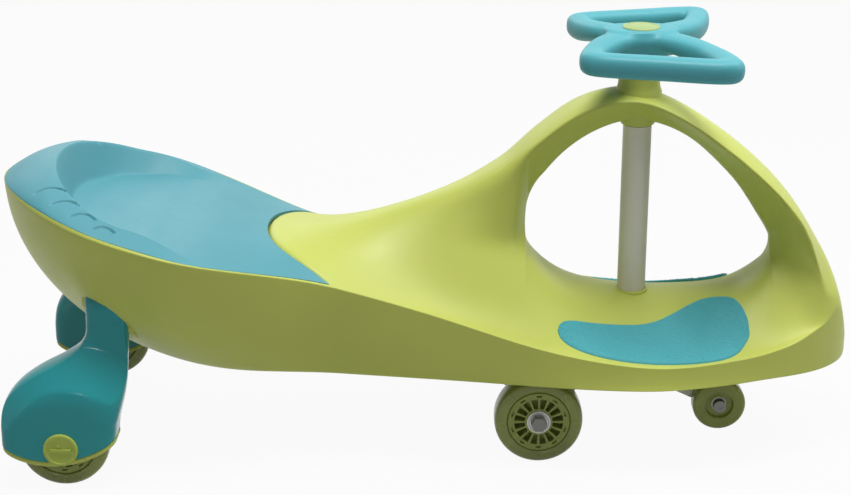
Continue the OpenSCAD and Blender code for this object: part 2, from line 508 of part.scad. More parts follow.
// Rear arms with the fender, its lower band, the axle, spacers and cap.
module wheel_well() translate([rear_axle_x, 0, wheel_radius]) {
  rod(well_radius, well_in, well_out);
  translate([-well_radius, well_in, -wheel_radius - 5])
    cube([2 * well_radius, well_out - well_in, wheel_radius + 5]);
}
module arm_form() skin([for (r = arm_rings) ring_at(r, 0, r[0])]);
module arm() difference() {
  arm_form();
  under_hem(0, -60);
  wheel_well();
  translate([rear_axle_x, 0, wheel_radius]) {
    rod(axle_radius + fixed_gap, fender_in - 5, fender_out + 5);
    rod(cap_radius + 0.3, fender_out - 3.6, fender_out + 5);
  }
  for (p = screw_spots) translate([p[0], p[1], 0]) post(2.5 + fixed_gap, neck_z - 30, neck_z + 1);
}
module rear_arm_right() color(gloss_teal) sided(true) arm();
module rear_arm_left() color(gloss_teal) sided(false) arm();
module band() difference() {
  intersection() { arm_form(); under_hem(-fixed_gap, -band_height); }
  wheel_well();
  translate([rear_axle_x, 0, wheel_radius]) {
    rod(cap_radius + 0.3, fender_out - 4.5, fender_out + 5);
    rod(axle_radius + fixed_gap, fender_in - 5, fender_out + 5);
  }
}
module fender_band_right() color(green) sided(true) band();
module fender_band_left() color(green) sided(false) band();
module arm_screws() color(steel) both() for (p = screw_spots) translate([p[0], p[1], 0]) {
  post(2.5, neck_z - 28, head_z + 1);
  post(4.8, head_z, head_z + 3);
}
module pin() translate([rear_axle_x, 0, wheel_radius]) rod(axle_radius, fender_in + 1, fender_out - 4);
module rear_axle_right() color(steel) sided(true) pin();
module rear_axle_left() color(steel) sided(false) pin();
module rear_spacers() color(steel) both() translate([rear_axle_x, 0, wheel_radius]) {
  ring(axle_radius + 2, axle_radius + fixed_gap, well_in + fixed_gap, well_in + fender_gap + 0.5 - end_gap);
  ring(axle_radius + 2, axle_radius + fixed_gap, well_out - fender_gap - 0.5 + end_gap, well_out - fixed_gap);
}
module cap() translate([rear_axle_x, 0, wheel_radius]) {
  rod(cap_radius, fender_out - 3.5, fender_out + 0.5);
  rod(cap_radius - 3, fender_out, fender_out + 1.4);
  translate([-cap_radius + 5, fender_out, -1.6]) cube([2 * cap_radius - 10, 2.2, 3.2]);
}
module axle_cap_right() color(lime) sided(true) cap();
module axle_cap_left() color(lime) sided(false) cap();

// Steering wheel: two grip loops that meet at the hub, its cap and nut.
wheel_z = collar_top + 26;
hub_lift = 7;
half_loop = [[0, 11], [-22, 17], [-41, 42], [-grip_half + 6, grip_reach - grip_splay - 13],
  [-grip_half + 13, grip_reach - grip_splay + 1], [5, grip_reach],
  [grip_half + 2, grip_reach + grip_splay - 1], [grip_half + 9, grip_reach + grip_splay - 14],
  [52, 52], [24, 18]];
loop_path = loop(half_loop, 4);
function full(c) = sign(c) * pow(abs(c), 0.8);
function tangent(p, i) = let (d = knot(p, i + 1) - knot(p, i - 1)) d / norm(d);
loop_rings = [for (i = [0:len(loop_path) - 1]) let (
  p = loop_path[i], d = tangent(loop_path, i), n = [d[1], -d[0]], hub = 1 - ease(16, 62, p[1]))
  [for (k = [0:11]) let (a = 30 * k, r = mix(grip_radius, 14.5, hub))
  [p[0] + n[0] * r * full(cos(a)), p[1] + n[1] * r * full(cos(a)),
   hub_lift * hub + mix(grip_radius, 8.5, hub) * full(sin(a))]]];
hub_low = collar_top + end_gap;
hub_top = wheel_z + hub_lift + 10;
module steering_wheel() color(teal) translate([column_x, 0, 0]) difference() {
  union() {
    translate([0, 0, wheel_z]) { closed_sweep(loop_rings); mirror([0, 1, 0]) closed_sweep(loop_rings); }
    translate([0, 0, wheel_z - 6]) scale([1.55, 1, 1]) cylinder(r = 23, h = hub_top - wheel_z + 6);
    post(collar_radius + 0.5, hub_low, wheel_z);
  }
  post(shaft_radius + fixed_gap, hub_low - 1, hub_top + 1);
  post(15, hub_top - 9, hub_top + 1);
}
module steering_cap() color(lime) translate([column_x, 0, 0]) {
  post(17.3, hub_top + fixed_gap, hub_top + 1);
  translate([0, 0, hub_top + 1]) cylinder(r1 = 17.3, r2 = 16, h = 0.8);
  tube(14.9, 12.5, hub_top - 6, hub_top + 0.5);
}
module wheel_nut() color(steel) translate([column_x, 0, hub_top - 9 + fixed_gap]) difference() {
  cylinder(r = 9.8, h = 6.5, $fn = 6);
  translate([0, 0, -1]) cylinder(r = shaft_radius + fixed_gap, h = 9);
}
shaft_low = keel_z - 38;
module steering_shaft() color(steel) translate([column_x, 0, 0]) post(shaft_radius, shaft_low, hub_top - 1);
module column_sleeve() color(grey) translate([column_x, 0, 0])
  tube(sleeve_radius, shaft_radius + fixed_gap, crown_z + 3 + end_gap, roof_z - 6 - end_gap);
module thrust_washer() color(steel) translate([column_x, 0, 0])
  tube(20, shaft_radius + fixed_gap, keel_z - 2.2, keel_z - end_gap);

// Front bracket: a plate with two cheeks and two axle tubes, all turning with the steering.
plate_top = keel_z - 2.2 - fixed_gap;
front_tube = front_track_half - wheel_width / 2 - 6;
tip_tube = tip_track_half - tip_width / 2 - 2;
cheek_y = tip_tube - 5;
function arc(cx, cz, r, a, b, n) = [for (k = [0:n]) let (t = mix(a, b, k / n))
  [cx + r * cos(t), cz + r * sin(t)]];
cheek = concat(arc(-trail, wheel_radius, 13, 125, 285, 10), [[-34, keel_z - 34], [24, keel_z - 34]],
  arc(lead, tip_z, 11, -105, 60, 10),
  [[50, plate_top - 8], [38, plate_top], [-44, plate_top], [-60, plate_top - 6]]);
module front_bracket() color(pale) translate([column_x, 0, 0]) difference() {
  union() {
    both() translate([0, cheek_y + 5, 0]) rotate([90, 0, 0]) linear_extrude(height = 5) polygon(cheek);
    translate([-44, -cheek_y - 1, plate_top - 6]) cube([82, 2 * cheek_y + 2, 6]);
    post(22, keel_z - 30, plate_top);
    translate([-trail, 0, wheel_radius]) rod(13, -front_tube, front_tube);
    translate([lead, 0, tip_z]) rod(9, -tip_tube, tip_tube);
  }
  post(shaft_radius + fixed_gap, 0, keel_z);
  translate([-trail, 0, wheel_radius]) rod(axle_radius + fixed_gap, -front_tube - 1, front_tube + 1);
  translate([lead, 0, tip_z]) rod(tip_axle_radius + fixed_gap, -tip_tube - 1, tip_tube + 1);
}
module bracket_nut() color(steel) translate([column_x, 0, shaft_low + 1]) difference() {
  cylinder(r = 10.5, h = keel_z - 30 - shaft_low - 1 - fixed_gap, $fn = 6);
  translate([0, 0, -1]) cylinder(r = shaft_radius + fixed_gap, h = 20);
}
front_in = front_track_half - wheel_width / 2;
front_out = front_track_half + wheel_width / 2;
module at_front() translate([front_axle_x, 0, wheel_radius]) children();
module at_tip() translate([tip_axle_x, 0, tip_z]) children();
module front_axle() color(steel) at_front() rod(axle_radius, -front_out - 5, front_out + 5);
module front_spacers() color(steel) at_front() both()
  ring(axle_radius + 2, axle_radius + fixed_gap, front_tube + fixed_gap, front_in + 0.5 - end_gap);
module front_nuts() color(steel) at_front() both() difference() {
  translate([0, front_out - 0.5 + end_gap, 0]) rotate([-90, 0, 0]) cylinder(r = 7.4, h = 6.5, $fn = 6);
  rod(axle_radius + fixed_gap, 0, front_out + 5 + fixed_gap);
}
tip_in = tip_track_half - tip_width / 2;
tip_out = tip_track_half + tip_width / 2;
module tip_axle() color(steel) at_tip() rod(tip_axle_radius, -tip_out - 3, tip_out + 3);
module tip_spacers() color(steel) at_tip() both()
  ring(tip_axle_radius + 2, tip_axle_radius + fixed_gap, tip_tube + fixed_gap, tip_in - end_gap);
module tip_nuts() color(steel) at_tip() both() difference() {
  rod(6, tip_out + end_gap - 4, tip_out + 3.5);
  rod(tip_axle_radius + fixed_gap, 0, tip_out + 3 + fixed_gap);
  translate([0, tip_out + 3.2, 0]) rotate([-90, 0, 0]) cylinder(r = 2.6, h = 3, $fn = 6);
}

// Large wheel: tyre, hub with windows, and two bearings.
hw = wheel_width / 2;
tyre_edge = concat([[hub_radius + fixed_gap, -hw + 1.5], [wheel_radius - 8, -hw]],
  [for (k = [0:6]) let (a = -90 + 15 * k) [wheel_radius - 6 + 6 * cos(a), -hw + 6 + 6 * sin(a)]]);
tyre_line = concat(tyre_edge, [for (k = [len(tyre_edge) - 1:-1:0]) [tyre_edge[k][0], -tyre_edge[k][1]]]);
module spin() rotate([-90, 0, 0]) rotate_extrude($fn = 96) children();
module tyre() spin() polygon(tyre_line);
hub_half = [[bearing_radius + fixed_gap, hw - 0.5], [bearing_radius + 3, hw - 0.5],
  [bearing_radius + 4, hw - 5], [hub_radius - 4.2, hw - 5], [hub_radius - 3.4, hw - 2], [hub_radius, hw - 2]];
hub_line = concat(hub_half, [for (k = [len(hub_half) - 1:-1:0]) [hub_half[k][0], -hub_half[k][1]]]);
shelf = hw - 0.5 - bearing_width - fixed_gap;
bearing_shelf = [[axle_radius + 4, shelf], [bearing_radius + 0.5, shelf],
  [bearing_radius + 0.5, -shelf], [axle_radius + 4, -shelf]];
window = concat(arc(0, 0, bearing_radius + 5, -60 / hub_windows * 1.9, 60 / hub_windows * 1.9, 4),
  arc(0, 0, hub_radius - 5.5, 60 / hub_windows * 2.2, -60 / hub_windows * 2.2, 4));
module hub() difference() {
  spin() { polygon(hub_line); polygon(bearing_shelf); }
  for (k = [1:hub_windows]) rotate([0, 360 / hub_windows * k, 0]) translate([0, hw, 0]) rotate([90, 0, 0])
    linear_extrude(height = wheel_width) polygon(window);
}
bearing_line = [[axle_radius + running, 0], [axle_radius + 2.2, 0], [axle_radius + 2.6, 0.6],
  [bearing_radius - 2, 0.6], [bearing_radius - 1.6, 0], [bearing_radius, 0],
  [bearing_radius, bearing_width], [bearing_radius - 1.6, bearing_width],
  [bearing_radius - 2, bearing_width - 0.6], [axle_radius + 2.6, bearing_width - 0.6],
  [axle_radius + 2.2, bearing_width], [axle_radius + running, bearing_width]];
module bearings() for (y = [-hw + 0.5, hw - 0.5 - bearing_width]) translate([0, y, 0])
  spin() polygon(bearing_line);
module front_at(side) at_front() translate([0, side * front_track_half, 0]) children();
module rear_at(side) translate([rear_axle_x, side * rear_track_half, wheel_radius]) children();
module front_tyre_right() color(olive) front_at(-1) tyre();
module front_tyre_left() color(olive) front_at(1) tyre();
module front_hub_right() color(olive) front_at(-1) hub();
module front_hub_left() color(olive) front_at(1) hub();
module front_bearings_right() color(steel) front_at(-1) bearings();
module front_bearings_left() color(steel) front_at(1) bearings();
module rear_tyre_right() color(olive) rear_at(-1) tyre();
module rear_tyre_left() color(olive) rear_at(1) tyre();
module rear_hub_right() color(olive) rear_at(-1) hub();
module rear_hub_left() color(olive) rear_at(1) hub();
module rear_bearings_right() color(steel) rear_at(-1) bearings();
module rear_bearings_left() color(steel) rear_at(1) bearings();

// Small wheel: one moulded piece on a plain bush, with a dished face.
th = tip_width / 2;
tip_edge = concat([[7 + fixed_gap, -th + 4.5], [12.5, -th + 4.5], [13.5, -th + 0.6]],
  [for (k = [0:5]) let (a = -90 + 18 * k) [tip_radius - 4 + 4 * cos(a), -th + 4 + 4 * sin(a)]]);
tip_line = concat(tip_edge, [for (k = [len(tip_edge) - 1:-1:0]) [tip_edge[k][0], -tip_edge[k][1]]]);
module tip_wheel() spin() polygon(tip_line);
module tip_bush() ring(7, tip_axle_radius + running, -th, th - 4 - end_gap);
module tip_at(right) at_tip() sided(right) translate([0, tip_track_half, 0]) children();
module tip_wheel_right() color(olive) tip_at(true) tip_wheel();
module tip_wheel_left() color(olive) tip_at(false) tip_wheel();
module tip_bush_right() color(pale) tip_at(true) tip_bush();
module tip_bush_left() color(pale) tip_at(false) tip_bush();

body_shell();
seat_panel();
foot_pad_right();
foot_pad_left();
neck_collar();
arch_bush();
deck_bush();
rear_arm_right();
rear_arm_left();
fender_band_right();
fender_band_left();
arm_screws();
rear_axle_right();
rear_axle_left();
rear_spacers();
axle_cap_right();
axle_cap_left();
steering_wheel();
steering_cap();
wheel_nut();
steering_shaft();
column_sleeve();
thrust_washer();
front_bracket();
bracket_nut();
front_axle();
front_spacers();
front_nuts();
tip_axle();
tip_spacers();
tip_nuts();
front_tyre_right();
front_hub_right();
front_bearings_right();
front_tyre_left();
front_hub_left();
front_bearings_left();
rear_tyre_right();
rear_hub_right();
rear_bearings_right();
rear_tyre_left();
rear_hub_left();
rear_bearings_left();
tip_wheel_right();
tip_bush_right();
tip_wheel_left();
tip_bush_left();
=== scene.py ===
# %% [markdown]
# # A ride-on wiggle car
# A child sits on the teal seat, puts both feet on the pads and turns the wheel from side to side.
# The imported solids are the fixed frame: every piece here is made in the same place, in metres,
# and rides on one of the frame's bodies.

# %% Load the frame and keep its box
import math

import bmesh
import bpy
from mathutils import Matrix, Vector, noise


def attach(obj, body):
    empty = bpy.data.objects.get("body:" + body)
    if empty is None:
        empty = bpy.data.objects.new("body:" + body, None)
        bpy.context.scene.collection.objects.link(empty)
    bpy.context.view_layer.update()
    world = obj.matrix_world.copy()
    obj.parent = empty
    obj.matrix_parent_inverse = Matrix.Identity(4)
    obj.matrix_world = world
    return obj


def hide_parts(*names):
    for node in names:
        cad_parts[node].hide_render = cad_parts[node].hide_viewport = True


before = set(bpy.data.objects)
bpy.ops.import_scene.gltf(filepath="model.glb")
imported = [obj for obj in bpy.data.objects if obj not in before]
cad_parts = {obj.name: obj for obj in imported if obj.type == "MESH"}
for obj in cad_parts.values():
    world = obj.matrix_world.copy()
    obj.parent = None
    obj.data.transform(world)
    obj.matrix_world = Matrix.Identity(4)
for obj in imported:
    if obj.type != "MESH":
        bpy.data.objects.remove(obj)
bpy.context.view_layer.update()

# %% [markdown]
# ## The camera
# The picture was taken from the right side, a little above the seat, with a long lens.
# A long lens far away keeps the two ends of the car at nearly the same scale. The focal length is
# given in pixels of the picture's width, because that is how it was solved.

# %% Camera
view_height, distance = math.radians(19.3), 1.701
focal_px, picture_wide_px = 1800, 850
aim = Vector((-0.006, 0.0, 0.180))
lens = bpy.data.cameras.new("side_camera")
lens.sensor_width = 36.0
lens.lens = lens.sensor_width * focal_px / picture_wide_px
camera = bpy.data.objects.new("side_camera", lens)
camera.location = aim + distance * Vector((0, -math.cos(view_height), math.sin(view_height)))
camera.rotation_euler = (math.pi / 2 - view_height, 0, 0)
bpy.context.collection.objects.link(camera)
bpy.context.scene.camera = camera
bpy.context.scene.view_settings.view_transform = "Standard"
print("lens", round(lens.lens, 1), "mm at", [round(v, 3) for v in camera.location])

# %% [markdown]
# ## The studio
# Large soft lamps give the even light of a catalogue picture. The floor is one wide sheet.
# For the camera it is mixed with plain white, so it looks almost empty but still keeps the shadow.

# %% Floor, lamps and world
def seen_directly(tree):
    """One where the camera sees the surface straight, in a reflection or through clear plastic."""
    path = tree.nodes.new("ShaderNodeLightPath")
    total = path.outputs["Is Camera Ray"]
    for kind in ("Is Glossy Ray", "Is Transmission Ray"):
        add = tree.nodes.new("ShaderNodeMath")
        add.operation = "MAXIMUM"
        tree.links.new(total, add.inputs[0])
        tree.links.new(path.outputs[kind], add.inputs[1])
        total = add.outputs[0]
    return total


floor_bm = bmesh.new()
bmesh.ops.create_grid(floor_bm, x_segments=8, y_segments=8, size=12.0)
floor_mesh = bpy.data.meshes.new("studio_floor")
floor_bm.to_mesh(floor_mesh)
floor_bm.free()
floor = bpy.data.objects.new("studio_floor", floor_mesh)
bpy.context.collection.objects.link(floor)

paper = bpy.data.materials.new("studio_paper")
paper.use_nodes = True
tree = paper.node_tree
tree.nodes.clear()
matt = tree.nodes.new("ShaderNodeBsdfDiffuse")
matt.inputs["Color"].default_value = (0.48, 0.48, 0.47, 1)
glow = tree.nodes.new("ShaderNodeEmission")
glow.inputs["Color"].default_value = (1, 1, 1, 1)
share = tree.nodes.new("ShaderNodeMath")
share.operation = "MULTIPLY"
share.inputs[1].default_value = 0.94
blend = tree.nodes.new("ShaderNodeMixShader")
out = tree.nodes.new("ShaderNodeOutputMaterial")
tree.links.new(seen_directly(tree), share.inputs[0])
tree.links.new(share.outputs[0], blend.inputs[0])
tree.links.new(matt.outputs[0], blend.inputs[1])
tree.links.new(glow.outputs[0], blend.inputs[2])
tree.links.new(blend.outputs[0], out.inputs["Surface"])
floor_mesh.materials.append(paper)

world = bpy.data.worlds.new("studio_air")
bpy.context.scene.world = world
world.use_nodes = True
tree = world.node_tree
tree.nodes.clear()
soft = tree.nodes.new("ShaderNodeBackground")
soft.inputs["Color"].default_value = (0.95, 0.98, 1.0, 1)
soft.inputs["Strength"].default_value = 0.10
white = tree.nodes.new("ShaderNodeBackground")
white.inputs["Color"].default_value = (1, 1, 1, 1)
white.inputs["Strength"].default_value = 1.0
blend = tree.nodes.new("ShaderNodeMixShader")
out = tree.nodes.new("ShaderNodeOutputWorld")
tree.links.new(seen_directly(tree), blend.inputs[0])
tree.links.new(soft.outputs[0], blend.inputs[1])
tree.links.new(white.outputs[0], blend.inputs[2])
tree.links.new(blend.outputs[0], out.inputs["Surface"])


def lamp(name, place, size, power):
    data = bpy.data.lights.new(name, "AREA")
    data.shape = "DISK"
    data.size = size
    data.energy = power
    obj = bpy.data.objects.new(name, data)
    obj.location = place
    obj.rotation_euler = (aim - Vector(place)).to_track_quat("-Z", "Y").to_euler()
    bpy.context.collection.objects.link(obj)


lamp("key_lamp", (0.0, -0.35, 2.6), 0.9, 50)
lamp("front_lamp", (-0.15, -2.6, 1.5), 0.3, 5.5)
lamp("top_lamp", (1.2, 0.3, 2.2), 1.6, 30)
lamp("side_lamp", (2.4, -0.5, 1.1), 1.2, 9)
lamp("low_lamp", (-1.8, -1.5, 0.35), 1.2, 2)
lamp("back_lamp", (-0.8, 2.2, 1.4), 1.4, 7)
print("studio ready")

# %% [markdown]
# ## Finishes
# Moulded plastic is never one flat colour: the skin has a fine grain, the colour drifts a little,
# and use leaves fine scratches. These effects are node groups, so each finish uses its own values.

# %% The node groups
def new_group(name, ins, outs):
    group = bpy.data.node_groups.new(name, "ShaderNodeTree")
    for label, kind, value in ins:
        socket = group.interface.new_socket(label, in_out="INPUT", socket_type=kind)
        if value is not None:
            socket.default_value = value
    for label, kind in outs:
        group.interface.new_socket(label, in_out="OUTPUT", socket_type=kind)
    return group, group.nodes.new("NodeGroupInput"), group.nodes.new("NodeGroupOutput")


def node(tree, kind, links=(), **values):
    """Add one node, set its values by name, and link sockets into its inputs."""
    made = tree.nodes.new(kind)
    for label, value in values.items():
        if hasattr(made, label):
            setattr(made, label, value)
        else:
            made.inputs[label.replace("_", " ")].default_value = value
    for label, source in links:
        tree.links.new(source, made.inputs[label])
    return made


FLOAT, VECTOR, COLOUR = "NodeSocketFloat", "NodeSocketVector", "NodeSocketColor"

moulded_skin, start, end = new_group("moulded_skin",
    [("Vector", VECTOR, None), ("Grain", FLOAT, 900.0), ("Mottle", FLOAT, 14.0)],
    [("Drift", FLOAT), ("Patches", FLOAT), ("Height", FLOAT)])
fine = node(moulded_skin, "ShaderNodeTexNoise", [("Vector", start.outputs["Vector"]),
    ("Scale", start.outputs["Grain"])], Detail=3.0, Roughness=0.55)
broad = node(moulded_skin, "ShaderNodeTexNoise", [("Vector", start.outputs["Vector"]),
    ("Scale", start.outputs["Mottle"])], Detail=2.0, Roughness=0.5)
patch = node(moulded_skin, "ShaderNodeTexNoise", [("Vector", start.outputs["Vector"])],
    Scale=55.0, Detail=4.0, Roughness=0.6)
moulded_skin.links.new(broad.outputs["Fac"], end.inputs["Drift"])
moulded_skin.links.new(patch.outputs["Fac"], end.inputs["Patches"])
moulded_skin.links.new(fine.outputs["Fac"], end.inputs["Height"])

use_marks, start, end = new_group("use_marks",
    [("Vector", VECTOR, None), ("Amount", FLOAT, 0.5)], [("Marks", FLOAT)])
turn = node(use_marks, "ShaderNodeMapping", [("Vector", start.outputs["Vector"])],
    Rotation=(0.3, 0.2, 0.5), Scale=(22.0, 320.0, 60.0))
streak = node(use_marks, "ShaderNodeTexNoise", [("Vector", turn.outputs["Vector"])],
    Scale=1.0, Detail=2.0, Roughness=0.5)
keep = node(use_marks, "ShaderNodeMapRange", [("Value", streak.outputs["Fac"])])
keep.inputs["From Min"].default_value = 0.60
keep.inputs["From Max"].default_value = 0.72
where = node(use_marks, "ShaderNodeTexNoise", [("Vector", start.outputs["Vector"])], Scale=9.0, Detail=1.0)
spot = node(use_marks, "ShaderNodeMapRange", [("Value", where.outputs["Fac"])])
spot.inputs["From Min"].default_value = 0.5
spot.inputs["From Max"].default_value = 0.7
both = node(use_marks, "ShaderNodeMath", [(0, keep.outputs[0]), (1, spot.outputs[0])], operation="MULTIPLY")
much = node(use_marks, "ShaderNodeMath", [(0, both.outputs[0]), (1, start.outputs["Amount"])],
    operation="MULTIPLY")
use_marks.links.new(much.outputs[0], end.inputs["Marks"])
print("node groups:", moulded_skin.name, use_marks.name)

# %% One recipe for every plastic and metal
def shade(colour, factor):
    return (colour[0] * factor, colour[1] * factor, colour[2] * factor, 1.0)


def finish(name, colour, rough, grain=900.0, depth=0.05, drift=0.06, marks=0.4, metallic=0.0, coat=0.0,
        shine=0.25, clear=0.0):
    """A Principled material whose colour, roughness and surface vary over the piece."""
    made = bpy.data.materials.new(name)
    made.use_nodes = True
    made.diffuse_color = (*colour, 1)
    tree = made.node_tree
    plastic = tree.nodes["Principled BSDF"]
    plastic.inputs["Metallic"].default_value = metallic
    plastic.inputs["Coat Weight"].default_value = coat
    plastic.inputs["Coat Roughness"].default_value = 0.12
    plastic.inputs["Specular IOR Level"].default_value = shine
    plastic.inputs["Transmission Weight"].default_value = clear
    place = node(tree, "ShaderNodeTexCoord")
    skin = node(tree, "ShaderNodeGroup", node_tree=moulded_skin)
    skin.inputs["Grain"].default_value = grain
    use = node(tree, "ShaderNodeGroup", node_tree=use_marks)
    use.inputs["Amount"].default_value = marks
    for group in (skin, use):
        tree.links.new(place.outputs["Object"], group.inputs["Vector"])
    tint = node(tree, "ShaderNodeMix", [("Factor", skin.outputs["Drift"])], data_type="RGBA")
    tint.inputs["A"].default_value = shade(colour, 1 - drift)
    tint.inputs["B"].default_value = shade(colour, 1 + drift)
    worn = node(tree, "ShaderNodeMix", [("Factor", use.outputs["Marks"]), ("A", tint.outputs["Result"])],
        data_type="RGBA")
    worn.inputs["B"].default_value = shade(colour, 1.25)
    tree.links.new(worn.outputs["Result"], plastic.inputs["Base Color"])
    span = node(tree, "ShaderNodeMapRange", [("Value", skin.outputs["Patches"])])
    span.inputs["To Min"].default_value = rough - 0.07
    span.inputs["To Max"].default_value = rough + 0.09
    tree.links.new(span.outputs[0], plastic.inputs["Roughness"])
    bump = node(tree, "ShaderNodeBump", [("Height", skin.outputs["Height"])], Strength=depth, Distance=0.0006)
    tree.links.new(bump.outputs["Normal"], plastic.inputs["Normal"])
    return made


body_green = finish("body_green_plastic", (0.47, 0.52, 0.105), 0.40)
seat_teal = finish("seat_teal_plastic", (0.08, 0.285, 0.335), 0.46, grain=700, depth=0.10)
pad_teal = finish("pad_teal_rubber", (0.06, 0.34, 0.38), 0.58, grain=420, depth=0.45, marks=0.2)
wheel_teal = finish("steering_teal_plastic", (0.075, 0.34, 0.385), 0.42)
cover_lime = finish("cover_pale_lime", (0.31, 0.41, 0.17), 0.45)
arm_teal = finish("arm_teal_gloss", (0.012, 0.27, 0.29), 0.17, depth=0.02, coat=0.10, shine=0.20)
olive = finish("wheel_olive_plastic", (0.23, 0.27, 0.05), 0.26, depth=0.04, coat=0.15)
sleeve_grey = finish("sleeve_grey_paint", (0.66, 0.64, 0.54), 0.42, grain=1400)
pale_grey = finish("bracket_pale_plastic", (0.82, 0.83, 0.80), 0.45)
lime = finish("cap_lime_plastic", (0.39, 0.47, 0.085), 0.38)
clear_olive = finish("tyre_clear_olive", (0.25, 0.29, 0.06), 0.22, depth=0.03, coat=0.1, clear=0.3)
# Nuts in dark steel: their darkness is partly painted shade, standing in for the shade inside the wheel bores
# round the axle ends.
bore_shade_dark_steel = finish("nut_dark_steel", (0.13, 0.13, 0.12), 0.38, grain=2200, metallic=1.0, shine=0.5)
bearing_steel = finish("bearing_grey_steel", (0.34, 0.34, 0.32), 0.34, grain=2200, metallic=1.0, shine=0.5)
steel = finish("fastener_steel", (0.50, 0.50, 0.49), 0.30, grain=2200, metallic=1.0, marks=0.6, shine=0.5)
print("finishes:", ", ".join(m.name for m in bpy.data.materials))

# %% [markdown]
# ## Lines of the body
# The moulding is one flowing surface. A few curves along its length give the rim, the underside,
# the crest of the saddle and arch, and the edge of the opening; cross sections join them.
# Working in millimetres with named lines keeps the shape close to the solid's.

# %% Helpers for curves
def mix(a, b, t):
    return a + (b - a) * t


def mix_points(a, b, t):
    return tuple(p + (q - p) * t for p, q in zip(a, b))


def unit(t):
    return max(0.0, min(1.0, t))


def ease(a, b, x):
    u = unit((x - a) / (b - a))
    return u * u * (3 - 2 * u)


def ramp(a, b, x, soft=0.16):
    """A straight slope from 0 to 1 whose two ends are rounded only a little."""
    u = unit((x - a) / (b - a))
    if u < soft:
        v = u * u / (2 * soft)
    elif u > 1 - soft:
        v = 1 - soft - (1 - u) ** 2 / (2 * soft)
    else:
        v = u - soft / 2
    return v / (1 - soft)


def tip(u, p, q=0.5):
    return max(0.0, 1 - unit(u) ** p) ** q


def lean(line, i):
    a, b = line[max(0, i - 1)], line[min(len(line) - 1, i + 1)]
    return (b[1] - a[1]) / (b[0] - a[0])


def curve(line, x):
    """The height of a smooth curve through a few points."""
    i = 0
    while i < len(line) - 2 and x >= line[i + 1][0]:
        i += 1
    h = line[i + 1][0] - line[i][0]
    u = unit((x - line[i][0]) / h)
    m, n = lean(line, i) * h, lean(line, i + 1) * h
    return ((2 * u**3 - 3 * u**2 + 1) * line[i][1] + (u**3 - 2 * u**2 + u) * m
            + (3 * u**2 - 2 * u**3) * line[i + 1][1] + (u**3 - u**2) * n)


# %% Named places, in millimetres
keel_z, tail_x, nose_x = 87.0, -396.0, 396.0
seat_wide, waist_wide, deck_wide, arch_wide = 288.0, 186.0, 232.0, 60.0
seat_x, waist_x, prong_x = -246.0, -86.0, -88.0
column_x, deck_x, hole_back, hole_front, merge_x = 190.0, 199.0, 88.0, 318.0, 380.0
arch_rise, roof_rise, deck_rise, saddle_rise = 249.5, 220.5, 52.5, 121.0
tail_rise, seat_rise, rim_rise = 164.0, 134.0, 18.0
back_tip, front_tip = roof_rise - 103, roof_rise - 122
seat_lip, seat_gap, tongue = 2.0, 0.5, 65.0
dish_x0, dish_xc, dish_wide, tail_round = tail_x + 50, seat_x - 10, 118.0, 0.6
tail_power, nose_power = 2.3, 1.5
print("car from", tail_x, "to", nose_x, "mm, column at", column_x)


# %% Outline, underside, rim and crest
def half_w(x):
    """Half the width at the rim: round at the tail, narrow at the waist, pointed at the nose."""
    if x <= seat_x:
        return seat_wide / 2 * tip((seat_x - x) / (seat_x - tail_x), tail_power, tail_round)
    if x <= waist_x:
        return mix(seat_wide, waist_wide, ease(seat_x, waist_x, x)) / 2
    if x <= deck_x:
        return mix(waist_wide, deck_wide, ease(waist_x, deck_x, x)) / 2
    return deck_wide / 2 * tip((x - deck_x) / (nose_x - deck_x), nose_power)


tuck_line = [[tail_x, 0.1], [tail_x + 90, 0.27], [seat_x, 0.41], [waist_x, 0.86], [hole_back, 1.0],
    [deck_x, 1.04], [nose_x, 1.0]]
rim_line = [[tail_x, tail_rise + 4], [tail_x + 16, tail_rise + 3], [tail_x + 50, tail_rise - 3.5],
    [seat_x, seat_rise], [prong_x - 38, mix(rim_rise, seat_rise, 0.69)],
    [hole_back - 89, mix(rim_rise, seat_rise, 0.39)], [hole_back + 18, rim_rise + 14], [deck_x, rim_rise],
    [hole_front - 29, rim_rise + 2], [hole_front, rim_rise + 5.5], [nose_x - 57, rim_rise + 10],
    [nose_x - 32, rim_rise + 20], [nose_x - 23, rim_rise + 26], [merge_x, rim_rise + 31],
    [nose_x - 10, rim_rise + 18], [nose_x - 3, rim_rise - 8], [nose_x, 4]]
crest_line = [[tail_x, tail_rise - 6], [tail_x + 18, tail_rise + 2], [tail_x + 56, tail_rise + 1],
    [seat_x, seat_rise + 5], [prong_x - tongue, saddle_rise - 5], [prong_x, saddle_rise],
    [hole_back - 118, saddle_rise + 15.5], [hole_back - 61, saddle_rise + 38], [hole_back - 24, arch_rise - 69],
    [hole_back + 12, arch_rise - 37], [hole_back + 48, arch_rise - 11], [column_x - 10, arch_rise],
    [column_x + 24, arch_rise - 8], [column_x + 75, arch_rise - 38], [hole_front + 7, arch_rise - 91],
    [nose_x - 29, arch_rise - 151], [nose_x - 10, 53], [nose_x, 10]]


def half_b(x):
    """Half the width of the underside."""
    return half_w(x) * curve(tuck_line, x)


def keel(x):
    """The underside: it climbs over the last 240 mm to the tail and the last 16 mm to the nose."""
    tail_climb = (tail_rise - 6) * (1 - tip((tail_x + 240 - x) / 240, 2.5))
    return keel_z + tail_climb + 10 * (1 - tip((x - nose_x + 16) / 16, 2.5))


def skirt(x):
    """How far the side hangs below the underside: at the nose, past the wheels' reach, it hangs lower."""
    return 3.5 * ease(seat_x, waist_x, x) + 6 * ease(hole_front - 25, nose_x - 12, x)


def rim(x):
    return keel_z + curve(rim_line, x)


def crest(x):
    return keel_z + curve(crest_line, x)


for label, x in (("tail", -380), ("seat", -246), ("waist", -86), ("deck", 199)):
    print(f"{label}: half width {half_w(x):.0f}, rim {rim(x):.0f}, crest {crest(x):.0f}")


